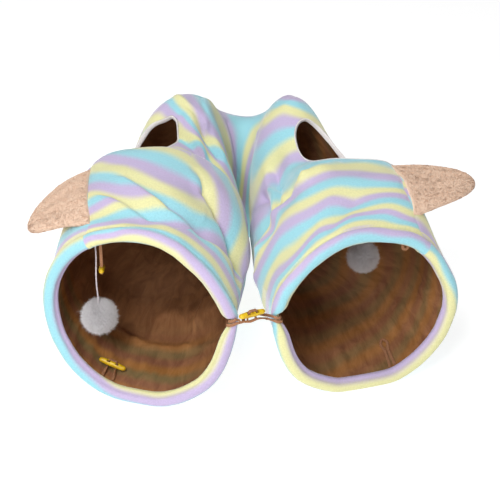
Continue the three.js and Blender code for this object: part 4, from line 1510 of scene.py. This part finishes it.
    def ridges(self, at: Sequence[Array], lengths: Any, width: float, seed: int) -> Array:
        """Sharp ridges where a noise changes its sign: 1 there, and 0 where the noise is past a width."""
        return 1 - np.minimum(1, np.abs(ripple(*at, lengths, seed)) / width)

    def lining(self, material: Material) -> Object:
        """The crinkle lining: the plush's folds at its own depth, with sharp lengthwise crinkles where a
        stretched noise changes its sign.

        Args:
            material: its finish.

        Returns:
            The object.
        """
        start = HEM_ROWS + LINING_BACK / ROW_STEP
        rows = np.linspace(start, LAST_ROW - start, self.lining_rows)
        deg = self.degrees(rows, self.lining_columns)
        row, deg, faces = self.cut(np.broadcast_to(rows[:, None], deg.shape), deg)
        flat = deg * DEG_STEP, row * ROW_STEP
        crease = self.ridges(flat, self.crease_lengths, self.crease_width, SEED + 3)
        crumple = self.ridges(flat, self.crumple_lengths, self.crumple_width, SEED + 4)
        edge = smooth_step(0, self.calm_rows, np.minimum(row, LAST_ROW - row) - start)
        folds = np.maximum(0, self.form.lines(row, deg, LINING_FOLDS))
        depth = INSIDE + edge * (self.crinkle * (crease**2 + self.crumple_share * crumple**2) + folds)
        points = self.form.skin(row, deg, self.form.relief(row, deg))
        points = points - depth[..., None] * self.form.axes(row, deg)[1]
        values = self.stripes.lining(row, deg)
        piece = Piece("lining_cloth", points, faces[:, ::-1], self.flat_map(row, deg), values)
        made = self.trimmed(piece).place(material, "lining", "lining")
        return made


def fibres(
    roots: Array, ways: Array, bends: Array, lengths: Array, radius: float
) -> tuple[Array, Array]:
    """Tapered fibres: each a three-sided spike from its root along its way, bent aside by the square of the
    share along it.

    Args:
        roots: where they start.
        ways: unit directions.
        bends: how far their tips are moved aside.
        lengths: their lengths.
        radius: half width at the root.

    Returns:
        Points, and quads.
    """
    sides = 3
    share = np.array([0.0, 0.55, 1.0])
    width = radius * np.array([1.0, 0.75, 0.12])
    odd_way = np.array([0.31, 0.77, 0.55])
    aside = unit(np.cross(ways, odd_way))
    third = np.cross(ways, aside)
    turn = np.linspace(0, 2 * np.pi, sides, endpoint=False)
    ring = np.cos(turn)[:, None] * aside[:, None] + np.sin(turn)[:, None] * third[:, None]
    middle = roots[:, None] + (share * lengths[:, None])[..., None] * ways[:, None]
    middle = middle + (share**2)[None, :, None] * bends[:, None]
    points = middle[:, :, None] + width[None, :, None, None] * ring[:, None]
    one = grid_faces(len(share), sides, closed=True)
    faces = one[None] + np.arange(len(roots))[:, None, None] * len(share) * sides
    return points.reshape(-1, 3), faces.reshape(-1, 4)


@dataclass(frozen=True)
class Ear:
    """A floppy padded ear, sewn into the lengthwise seam."""

    side: Side
    front: Pair
    back: Pair
    point: tuple[float, float, float]
    arch: float
    thick: float = 13.0
    edge: float = 0.6
    taper: float = 0.45
    thin: float = 2.2
    sink: float = 2.0
    fill: float = 0.25
    stations: int = 56
    around: int = 72
    pile: int = 15000
    pile_length: float = 3.2
    pile_radius: float = 0.36
    matted: float = 13.0
    fold_depth: float = 0.12
    fold_turns: float = 3.2
    fold_shift: float = 0.12
    fold_root: float = 0.25
    fold_tip: float = 0.3
    follow: float = 0.45
    stray: float = 0.25
    mat_share: float = 0.6
    brushed: float = 0.55
    spread: Pair = (0.7, 1.15)
    curl: float = 0.35
    rooted: float = 0.4

    def surface(self, form: TubeForm, share: Array, angle: Array) -> Array:
        """Flap: a flat oval section, carried from the seam along a bent line to the point, its width falling
        off as a power of what is left of the line. Near its root it leans over to follow the tube.

        Args:
            form: the tube.
            share: share of the way to the point.
            angle: turn round the section.

        Returns:
            Points.
        """
        ends = [form.wall(*place, 0.0) for place in (self.front, self.back)]
        root, across = (ends[0] + ends[1]) / 2, (ends[1] - ends[0]) / 2
        tip = np.array(self.point, float)
        bend = (root + tip) / 2 + self.arch * UP
        s = share[..., None]
        middle = (1 - s) ** 2 * root + 2 * s * (1 - s) * bend + s**2 * tip
        along = unit(2 * (1 - s) * (bend - root) + 2 * s * (tip - bend))
        raised = unit(np.cross(np.broadcast_to(across, along.shape), along))
        left = np.clip(1 - share, 0, 1) ** self.taper
        c, n = np.cos(angle), np.sin(angle)
        folds = self.fold_depth * np.cos(self.fold_turns * np.pi * (c + self.fold_shift))
        folds = 1 + folds * smooth_step(0, self.fold_root, share) * smooth_step(0, self.fold_tip, left)
        thick = self.thick / 2 * np.minimum(1, self.thin * left) * folds
        flap = middle + (left * c)[..., None] * across - (thick * blunt(n, self.edge))[..., None] * raised
        spot = (c + 1) / 2
        row = self.front[0] + (self.back[0] - self.front[0]) * spot
        deg = self.front[1] + (self.back[1] - self.front[1]) * spot
        seam = form.wall(row, deg, self.sink, form.relief(row, deg))
        shift = seam - (root + c[..., None] * across)
        return flap + (1 - smooth_step(0, self.follow, share))[..., None] * shift

    def build(self, form: TubeForm, material: Material) -> Object:
        """Makes the padded flap and the pile on it.

        Args:
            form: the tube.
            material: their finish.

        Returns:
            The padded flap.
        """
        share = 1 - (1 - np.linspace(0, 1, self.stations)) ** 2
        angle = np.linspace(0, 2 * np.pi, self.around, endpoint=False)
        grid = np.broadcast_arrays(share[:, None], angle[None])
        points = self.surface(form, *grid)
        root = np.broadcast_to(points[:1].mean(axis=1, keepdims=True), points[:1].shape)
        points = np.concatenate([root, points])
        quads = grid_faces(len(points), self.around, closed=True)[:, ::-1]
        joined, faces = weld(points.reshape(-1, 3), quads)
        name = f"ear_{self.side.value}"
        tone = np.zeros(len(joined))
        made = Piece(name + "_pad", joined, faces, values={"fibre_tone": tone}).place(material, "ear", name)
        self.add_pile(points[1:], material)
        return made

    def add_pile(self, points: Array, material: Material) -> None:
        """Short matted fibres on the flap, brushed towards its point, most where the flap has most area.

        Args:
            points: the flap's grid.
            material: their finish.
        """
        draw = np.random.default_rng(SEED + len(self.side.value))
        quads = points.reshape(-1, 3)[grid_faces(points.shape[0], self.around, closed=True)]
        normal = -np.cross(quads[:, 2] - quads[:, 0], quads[:, 3] - quads[:, 1])
        area = np.linalg.norm(normal, axis=1)
        picked = draw.choice(len(quads), self.pile, p=area / area.sum())
        u, v = draw.uniform(0, 1, (2, self.pile, 1))
        q = quads[picked].transpose(1, 0, 2)
        roots = (1 - u) * ((1 - v) * q[0] + v * q[3]) + u * ((1 - v) * q[1] + v * q[2])
        outward = unit(normal[picked])
        nap = unit(q[3] - q[0] + 1e-9)
        loose = draw.normal(0, self.stray, (self.pile, 3))
        across, along = roots[:, 0], roots[:, 1] + roots[:, 2]
        mats = [ripple(across, along, (self.matted, self.matted), SEED + 30 + axis) for axis in range(3)]
        loose = loose + self.mat_share * np.stack(mats, -1)
        ways = unit(outward + self.brushed * nap + loose)
        lengths = self.pile_length * draw.uniform(*self.spread, self.pile)
        bends = self.curl * lengths[:, None] * unit(nap + loose)
        made, faces = fibres(roots - self.rooted * outward, ways, bends, lengths, self.pile_radius)
        tone = np.repeat(draw.uniform(-0.5, 0.5, self.pile), len(made) // self.pile)
        Piece(f"ear_{self.side.value}_pile", made, faces, values={"fibre_tone": tone}).place(material, "ear")


EARS = (
    Ear(Side.LEFT, (0.7, 56), (3.5, 46), (-299, -108, 184), 13),
    Ear(Side.RIGHT, (19.2, 58), (16.4, 58), (297, -52, 224), 2),
)


@dataclass(frozen=True)
class Pompom:
    """A fluffy pompom that hangs on a twisted string from the lining."""

    side: Side
    row: float
    deg: float
    drop: float
    radius: float
    core: float = 0.8
    fluff: int = 9500
    fluff_from: float = 0.64
    fluff_radius: float = 0.42
    steps: int = 60
    ring: int = 12
    twist: float = 5.0
    lobes: Pair = (0.86, 0.14)
    sway: tuple[float, float, float] = (0.9, 0.4, 0.0)
    stray: float = 0.2
    curl: float = 0.2
    spread: Pair = (0.72, 0.99)
    heart: float = 0.74
    heart_bumps: float = 0.05
    # Painted shade: how much darker the heart is painted than the fibres.
    heart_painted_shade: float = -0.2
    heart_rings: int = 24
    heart_sides: int = 36

    def build(self, form: TubeForm, yarn: Material, cord: Material) -> None:
        """Makes the pompom and its string.

        Args:
            form: the tube.
            yarn: the pompom's finish.
            cord: the string's finish.
        """
        normal = form.axes(np.array(self.row), np.array(self.deg))[1]
        slope = np.sqrt(1 - normal[2] ** 2)
        top = form.lining(self.row, self.deg, CLEAR + STRING_RADIUS * slope)
        centre = top + self.drop * DOWN
        ball = self.ball(centre, yarn)
        end = centre + (self.radius * self.core + CLEAR) * UP
        sway = np.array(self.sway)
        spots = np.stack([top, 0.66 * top + 0.34 * end + sway, 0.33 * top + 0.67 * end - sway, end])
        self.string(smooth_path(spots, self.steps), cord, ball)

    def ball(self, centre: Array, material: Material) -> Object:
        """Fibres from a bumpy heart to the pompom's outside, spread evenly by the golden angle and then shaken.
        The heart is painted darker, as painted shade deep inside the fluff.

        Args:
            centre: its middle.
            material: its finish.

        Returns:
            The object.
        """
        draw = np.random.default_rng(SEED + 20 + len(self.side.value))
        number = np.arange(self.fluff)
        height = 1 - 2 * (number + 0.5) / self.fluff
        turn = number * np.pi * (3 - np.sqrt(5))
        flat = np.sqrt(1 - height**2)
        ways = np.stack([flat * np.cos(turn), flat * np.sin(turn), height], -1)
        ways = unit(ways + draw.normal(0, self.stray, ways.shape))
        start = self.fluff_from * self.radius
        lengths = (self.radius - start) * draw.uniform(*self.spread, self.fluff)
        bends = draw.normal(0, self.curl, ways.shape) * lengths[:, None]
        points, faces = fibres(centre + start * ways, ways, bends, lengths, self.fluff_radius)
        tone = np.repeat(draw.uniform(-0.5, 0.5, self.fluff), len(points) // self.fluff)
        heights = np.linspace(0, np.pi, self.heart_rings)
        bearings = np.linspace(0, 2 * np.pi, self.heart_sides, endpoint=False)
        pole, bearing = np.meshgrid(heights, bearings, indexing="ij")
        way = np.stack([np.sin(pole) * np.cos(bearing), np.sin(pole) * np.sin(bearing), np.cos(pole)], -1)
        bumps = ripple(pole * 20, bearing * 20 * np.sin(pole), (9.0, 9.0), SEED)
        reach = self.radius * self.heart * (1 + self.heart_bumps * bumps)
        quads = grid_faces(self.heart_rings, self.heart_sides, closed=True)[:, ::-1]
        heart, heart_faces = weld((centre + reach[..., None] * way).reshape(-1, 3), quads)
        shifted = (faces + len(heart)).tolist()
        # The heart's points carry painted shade; the fibres carry their own tones.
        values = {"fibre_tone": np.concatenate([np.full(len(heart), self.heart_painted_shade), tone])}
        name = f"pompom_{self.side.value}"
        piece = Piece(name + "_yarn", np.concatenate([heart, points]), heart_faces + shifted, values=values)
        return piece.place(material, "pompom", name)

    def string(self, path: Array, material: Material, ball: Object) -> None:
        """Two-ply string: a round section with two lobes that turn along it.

        Args:
            path: its middle line.
            material: its finish.
            ball: the pompom on its end; not used.
        """
        along = unit(np.gradient(path, axis=0))
        aside = unit(np.cross(along, np.array([0.0, 1.0, 0.0])))
        third = np.cross(along, aside)
        run = run_along(path)
        turn = np.linspace(0, 2 * np.pi, self.ring + 1)[None]
        waist, lobe = self.lobes
        lobes = STRING_RADIUS * (waist + lobe * np.cos(2 * (turn - 2 * np.pi * run[:, None] / self.twist)))
        ways = np.cos(turn)[..., None] * aside[:, None] + np.sin(turn)[..., None] * third[:, None]
        points = path[:, None] + lobes[..., None] * ways
        uv = np.stack(np.broadcast_arrays(run[:, None] * MM, turn * STRING_RADIUS * MM), -1)
        name = f"pompom_string_{self.side.value}"
        faces = grid_faces(*points.shape[:2])
        made = Piece(name + "_cord", points, faces, uv).place(material, "string", name)


POMPOMS = (
    Pompom(Side.LEFT, 0.6, 57.7, 133, 25),
    Pompom(Side.RIGHT, 17.15, 78, 126, 23),
)


@dataclass(frozen=True)
class TapePlace:
    """A point on a tape's middle line, and the direction that its flat side looks there."""

    at: Array
    face: Array


@dataclass(frozen=True)
class ToggleFrame:
    """A toggle's middle, the direction of its length, and the side that its tape crosses."""

    middle: Array
    along: Array
    face: Array

    @staticmethod
    def squared(middle: Any, along: Any, face: Any) -> "ToggleFrame":
        """Squares a face to a length.

        Args:
            middle, along, face: the frame as wanted.

        Returns:
            The frame.
        """
        length = unit(np.array(along, float))
        flat = np.array(face, float)
        return ToggleFrame(np.array(middle, float), length, unit(flat - flat @ length * length))


@dataclass(frozen=True)
class Fastenings:
    """The bar toggles at the left mouth, the loops at the right one, and the brown tape of both."""

    form: TubeForm
    plastic: Material
    cloth: Material
    length: float = 38.0
    end_radius: float = 3.1
    slot_width: float = 5.8
    slot_thick: float = 4.8
    edge: float = 0.5
    around: int = 32
    lengthwise: int = 64
    full_share: float = 0.3
    edge_steps: int = 2
    edge_angle: float = 45.0
    tape_ring: int = 17
    tape_flat: float = 0.45
    tape_round: float = 0.6

    def toggle(self, name: str, at: ToggleFrame) -> Object:
        """Bar: a round section whose radius is full in the middle and eases to the ends, which close as
        quarter circles. Two slots are cut through it, and their edges are eased.

        Args:
            name: the solid that it stands for.
            at: where it lies.

        Returns:
            The object.
        """
        half = self.length / 2
        share = np.sin(np.linspace(-np.pi / 2, np.pi / 2, self.lengthwise))
        eased = smooth_step(self.full_share, 1.0, np.abs(share))
        radius = TOGGLE_RADIUS - (TOGGLE_RADIUS - self.end_radius) * eased
        left = (1 - np.abs(share)) * half
        radius = radius * np.sqrt(1 - (1 - np.minimum(1, left / self.end_radius)) ** 2)
        turn = np.linspace(0, 2 * np.pi, self.around, endpoint=False)
        third = np.cross(at.along, at.face)
        ring = np.cos(turn)[:, None] * third + np.sin(turn)[:, None] * at.face
        points = at.middle + (share * half)[:, None, None] * at.along + radius[:, None, None] * ring[None]
        faces = grid_faces(self.lengthwise, self.around, closed=True)
        joined, joined_faces = weld(points.reshape(-1, 3), faces[:, ::-1])
        made = Piece(name + "_bar", joined, joined_faces).place(self.plastic, "toggle", name)
        for place in (-SLOT_AT, SLOT_AT):
            self.cut_slot(made, at, place)
        bevel = made.modifiers.new("eased_edges", "BEVEL")
        bevel.width = self.edge * MM
        bevel.segments = self.edge_steps
        bevel.limit_method = "ANGLE"
        bevel.angle_limit = np.radians(self.edge_angle)
        return made

    def cut_slot(self, bar: Object, at: ToggleFrame, place: float) -> None:
        """Cuts one slot right through a bar.

        Args:
            bar: the toggle.
            at: where it lies.
            place: how far along it.
        """
        corners = np.array([[x, y, z] for x in (-1, 1) for y in (-1, 1) for z in (-1, 1)], float) / 2
        axes = np.stack([np.cross(at.along, at.face), at.along, at.face])
        sizes = np.array([self.slot_width, self.slot_thick, 4 * TOGGLE_RADIUS])
        points = at.middle + place * at.along + (corners * sizes) @ axes
        quads = [(0, 1, 3, 2), (4, 6, 7, 5), (0, 4, 5, 1), (2, 3, 7, 6), (0, 2, 6, 4), (1, 5, 7, 3)]
        mesh = bpy.data.meshes.new("slot")
        mesh.from_pydata((points * MM).tolist(), [], quads)
        cutter = linked("slot", mesh)
        cut = bar.modifiers.new("slot", "BOOLEAN")
        cut.operation = "DIFFERENCE"
        cut.solver = "EXACT"
        cut.object = cutter
        bpy.context.view_layer.update()
        seen = bar.evaluated_get(bpy.context.evaluated_depsgraph_get())
        whole = bpy.data.meshes.new_from_object(seen)
        bar.modifiers.remove(cut)
        bar.data = whole
        bpy.data.objects.remove(cutter)

    def tape(self, name: str, places: Sequence[TapePlace], steps: int) -> Object:
        """Flat tape: a rounded flat section carried along a smooth path, its flat side turned with the
        places.

        Args:
            name: the solid that it stands for.
            places: points on its way.
            steps: sections along it.

        Returns:
            The object.
        """
        path = smooth_path(np.array([place.at for place in places]), steps)
        look = smooth_path(np.array([place.face for place in places]), steps)
        along = unit(np.gradient(path, axis=0))
        across = unit(np.cross(along, look))
        raised = np.cross(across, along)
        turn = np.linspace(0, 2 * np.pi, self.tape_ring)[None, :, None]
        flat = TAPE_WIDTH / 2 * blunt(np.cos(turn), self.tape_flat)
        tall = TAPE_THICK / 2 * blunt(np.sin(turn), self.tape_round)
        points = path[:, None] + flat * across[:, None] + tall * raised[:, None]
        run = run_along(path)
        girth = np.linspace(0, 2 * (TAPE_WIDTH + TAPE_THICK), self.tape_ring)
        uv = np.stack(np.broadcast_arrays(run[:, None] * MM, girth[None] * MM), -1)
        faces = grid_faces(steps, self.tape_ring)[:, ::-1]
        made = Piece(name + "_weave", points, faces, uv).place(self.cloth, "tape", name)
        return made

    def on_lining(self, row: float, deg: float, rest: float = TAPE_REST) -> TapePlace:
        """Place of a tape that lies flat on the lining, looking away from it."""
        normal = self.form.axes(np.array(row), np.array(deg))[1]
        return TapePlace(self.form.lining(row, deg, rest + TAPE_THICK / 2), -normal)

    def round_hem(self, at_end: bool, deg: float) -> list[TapePlace]:
        """Places of a tape that comes from the lining behind a hem and bends round the hem to its front.

        Args:
            at_end: the right mouth, not the left.
            deg: degrees round the tube.

        Returns:
            Places in order.
        """
        behind = LAST_ROW - HEM_TAPE_BEHIND if at_end else HEM_TAPE_BEHIND
        over = TAPE_HEM_REST + TAPE_THICK / 2
        places = [self.on_lining(behind, deg + HEM_TAPE[0][1], 2 * TAPE_HEM_REST)]
        for turn, lower in HEM_TAPE:
            at, under = (self.form.hem(at_end, np.array(deg + lower), np.array(turn), h) for h in (over, 0.0))
            places.append(TapePlace(at, unit(at - under)))
        return places

    def through(self, at: ToggleFrame) -> list[TapePlace]:
        """Places of a tape that goes in by one slot of a toggle, over its face and out by the other.

        Args:
            at: the toggle's frame.

        Returns:
            Places in order.
        """
        over = TOGGLE_RADIUS + TAPE_THICK / 2 + TAPE_REST
        half = [(1, -TOGGLE_RADIUS, 1, 0), (1, 1, 1, 0), (0.8, over - 0.2, 0.32, 0.2)]
        mirrored = [(-side, height, -tilt, level) for side, height, tilt, level in half]
        places = []
        for side, height, tilt, level in (*mirrored, (0, over, 0, 1), *half[::-1]):
            spot = at.middle + side * SLOT_AT * at.along + height * at.face
            places.append(TapePlace(spot, tilt * at.along + level * at.face))
        return places

    def build(self) -> None:
        """Makes the three toggles, the three loops and their tape."""
        self.floor_toggle()
        self.top_toggle()
        self.tie()
        self.floor_loop()
        self.top_loop()

    def floor_toggle(self) -> None:
        """Toggle on the lining's lower side, its tape's two legs running to it from behind the hem."""
        start, end = (self.form.lining(*place, FLOOR_TOGGLE_REST) for place in FLOOR_TOGGLE_ENDS)
        normal = self.form.axes(*(np.array(value) for value in FLOOR_TOGGLE))[1]
        at = ToggleFrame.squared(self.form.lining(*FLOOR_TOGGLE, FLOOR_TOGGLE_REST), end - start, -normal)
        legs = []
        for deg in FLOOR_LEG_DEGS:
            splayed = deg + (deg - FLOOR_LEG_DEGS[0]) * FLOOR_LEG_SPLAY
            near, far = FLOOR_LEG_ROWS
            legs.append([self.on_lining(near, deg), self.on_lining(far, splayed, FLOOR_LEG_REST)])
        self.toggle("toggle_floor", at)
        self.tape("toggle_tape_floor", [*legs[0], *self.through(at), *legs[1][::-1]], 150)

    def top_toggle(self) -> None:
        """Toggle that hangs end on under the top of the left mouth."""
        front, back = (self.form.lining(*place, CLEAR + TAPE_THICK / 2) for place in TOP_TOGGLE_LEGS)
        at = ToggleFrame.squared((front + back) / 2 + TOP_TOGGLE_DROP * DOWN, TOP_TOGGLE_ALONG, DOWN)
        places = [TapePlace(front, -at.along), *self.through(at), TapePlace(back, at.along)]
        self.toggle("toggle_top", at)
        self.tape("toggle_tape_top", places, 150)

    def tie(self) -> None:
        """Toggle buttoned into the loop of the other mouth, where the two mouths meet at the front."""
        at = ToggleFrame.squared(TIE_MIDDLE, TIE_ALONG, TIE_FACE)
        upper, lower = (self.round_hem(False, deg) for deg in TIE_LEG_DEGS)
        through = self.through(at)
        low = at.middle[2] - TOGGLE_RADIUS - TIE_SINK
        near, far = (
            TapePlace(np.array([*place.at[:2], low]), TIE_TILT * place.face + DOWN)
            for place in (through[0], through[-1])
        )
        approach = TapePlace(near.at + TIE_APPROACH, np.array(TIE_APPROACH_FACE))
        self.toggle("toggle_tie", at)
        self.tape("toggle_tape_tie", [*upper, approach, near, *through, far, *lower[::-1]], 220)
        level = at.middle[2] - TOGGLE_RADIUS - CLEAR - TAPE_THICK
        aside = TIE_LOOP_HALF * unit(np.cross(at.along, UP))
        strand = []
        for along, across in TIE_LOOP:
            spot = at.middle + along * SLOT_AT * at.along - across * aside
            strand.append(TapePlace(np.array([*spot[:2], level]), UP))
        upper, lower = (self.round_hem(True, deg) for deg in TIE_LEG_DEGS)
        self.tape("loop_tie", [*upper, *strand, *lower[::-1]], 200)

    def floor_loop(self) -> None:
        """Loop that lies on the lining's lower side behind the right hem and opens into an eye."""
        there = [self.on_lining(row, FLOOR_LOOP_DEG + side) for row, side in FLOOR_LOOP_LEGS]
        back = [self.on_lining(row, FLOOR_LOOP_DEG - side) for row, side in FLOOR_LOOP_LEGS]
        self.tape("loop_floor", [*there, self.on_lining(FLOOR_LOOP_END, FLOOR_LOOP_DEG), *back[::-1]], 130)

    def top_loop(self) -> None:
        """Loop that hangs from the lining just behind the top of the right hem."""
        front, back = (self.form.lining(TOP_LOOP_ROW, deg, TAPE_REST + TAPE_THICK) for deg in TOP_LOOP_DEGS)
        level = (front - back) * (1, 1, 0)
        sideways = TOP_LOOP_HALF * unit(level)
        hung = [(front + back) / 2 + side * sideways + drop * DOWN for side, drop in TOP_LOOP_DROPS]
        face = np.array([0.0, -1.0, 0.0])
        self.tape("loop_top", [TapePlace(at, face) for at in (front, *hung, back)], 120)


# Where the toggles, the loops and their tapes lie, as in the solids, with a rounder end to the top loop.
FLOOR_TOGGLE = (0.93, 291.8)
FLOOR_TOGGLE_ENDS = ((0.84, 301.8), (0.91, 280.3))
FLOOR_TOGGLE_REST = 9.4
FLOOR_LEG_DEGS = (295.4, 291)
FLOOR_LEG_ROWS = (0.43, 0.58)
FLOOR_LEG_SPLAY = 0.6
FLOOR_LEG_REST = 1.4
TOP_TOGGLE_LEGS = ((0.5, 62.2), (0.68, 60.6))
TOP_TOGGLE_ALONG = (-0.07, 0.95, -0.31)
TOP_TOGGLE_DROP = 61
TIE_MIDDLE = (-2.5, -269, 151)
TIE_ALONG = (30, 20, -4)
TIE_FACE = (0, -0.3, 1)
TIE_LEG_DEGS = (180.4, 182.8)
TIE_SINK = 6
TIE_TILT = 0.6
TIE_APPROACH = (-9, 1, 0.4)
TIE_APPROACH_FACE = (0, -0.6, -0.8)
TIE_LOOP_HALF = 5.5
TIE_LOOP = ((1, 1), (-1.2, 1), (-2.1, 0), (-1.2, -1), (1, -1))
HEM_TAPE = ((-105, 3.2), (-60, 2.4), (-15, 1.2), (25, 0))
HEM_TAPE_BEHIND = 0.62
FLOOR_LOOP_DEG = 292
FLOOR_LOOP_END = 18.32
FLOOR_LOOP_LEGS = ((19.5, 1.9), (19.1, 1.4), (18.75, 1.4), (18.5, 2.5))
TOP_LOOP_ROW = 19.55
TOP_LOOP_DEGS = (63, 59)
TOP_LOOP_HALF = 3.4
TOP_LOOP_DROPS = ((1, 14), (1, 25.5), (0.7, 28), (0, 29), (-0.7, 28), (-1, 25.5), (-1, 14))


@dataclass(frozen=True)
class Studio:
    """Camera, soft lights and a plain white floor."""

    target: tuple[float, float, float] = (-5, -60, 121)
    distance: float = 1750
    elevation: float = 30
    frame_pixels: float = 500
    focal_pixels: float = 1265
    sensor: float = 36
    floor_half: float = 40000
    floor_points: int = 9
    floor_level: float = -0.4
    room_light: float = 0.2

    def camera(self) -> None:
        """Puts the camera at the photograph's viewing angle."""
        data = bpy.data.cameras.new("camera")
        data.sensor_width = self.sensor
        data.lens = self.focal_pixels / self.frame_pixels * self.sensor
        made = linked("camera", data)
        tilt = np.radians(self.elevation)
        away = self.distance * np.array([0, -np.cos(tilt), np.sin(tilt)])
        made.location = (np.array(self.target) + away) * MM
        made.rotation_euler = (np.pi / 2 - tilt, 0, 0)
        bpy.context.scene.camera = made

    def floor(self) -> None:
        """A wide floor, level and plain."""
        steps = np.linspace(-self.floor_half, self.floor_half, self.floor_points)
        x, y = np.meshgrid(steps, steps)
        points = np.stack([x, y, np.full(x.shape, self.floor_level)], -1).reshape(-1, 3)
        mesh = bpy.data.meshes.new("floor")
        mesh.from_pydata((points * MM).tolist(), [], grid_faces(*x.shape).tolist())
        mesh.materials.append(FloorFinish().material())
        linked("floor", mesh)

    def light(self) -> None:
        """A pale room, a large soft key from the front left, a low light into the mouths, and a top."""
        world = bpy.data.worlds.new("white_room")
        world.use_nodes = True
        sockets = world.node_tree.nodes["Background"].inputs
        sockets["Color"].default_value = (1, 1, 1, 1)
        sockets["Strength"].default_value = self.room_light
        bpy.context.scene.world = world
        bpy.context.scene.view_settings.view_transform = "Standard"
        lamps = (
            ("key", (-650, -1700, 1850), 900, 37.0),
            ("front", (-500, -2300, 750), 900, 12.0),
            ("top", (-300, 100, 2300), 1200, 17.0),
        )
        for name, place, size, power in lamps:
            data = bpy.data.lights.new(name, "AREA")
            data.size = size * MM
            data.energy = power
            made = linked(name, data)
            made.location = np.array(place) * MM
            way = unit(np.array(self.target) - np.array(place, float))
            made.rotation_euler = (np.arccos(-way[2]), 0, np.arctan2(way[1], way[0]) - np.pi / 2)


def main() -> None:
    """Builds the tunnel piece by piece."""
    logging.basicConfig(level=logging.INFO, format="%(name)s: %(message)s")
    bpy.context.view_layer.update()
    studio = Studio()
    studio.camera()
    studio.floor()
    studio.light()
    groups = Groups(stripe_group(), pile_group(), weave_group())
    form = TubeForm()
    tape = WovenFinish("brown_tape", linear(190, 140, 106), linear(124, 80, 54), 1300.0)
    string = WovenFinish("white_string", linear(240, 232, 236), linear(196, 184, 190), 1500.0)
    binding = WovenFinish("white_binding", linear(246, 242, 240), linear(208, 200, 198), 900.0)
    yarn = PileFinish("white_yarn", linear(255, 254, 254), linear(243, 239, 241), 700.0)
    tan = PileFinish("tan_pile", linear(247, 224, 203), linear(218, 183, 157), 900.0)
    Fastenings(form, ToggleFinish().material(), tape.material(groups)).build()
    yarn_material, string_material = yarn.material(groups), string.material(groups)
    for pompom in POMPOMS:
        pompom.build(form, yarn_material, string_material)
    tube = ClothTube(form, StripeCloth())
    tube.plush(PlushFinish().material(groups))
    tube.lining(LiningFinish().material(groups))
    binding_material = binding.material(groups)
    for hole in PEEK_HOLES:
        hole.binding(form, binding_material)
    tan_material = tan.material(groups)
    for ear in EARS:
        ear.build(form, tan_material)


if __name__ == "__main__":
    main()
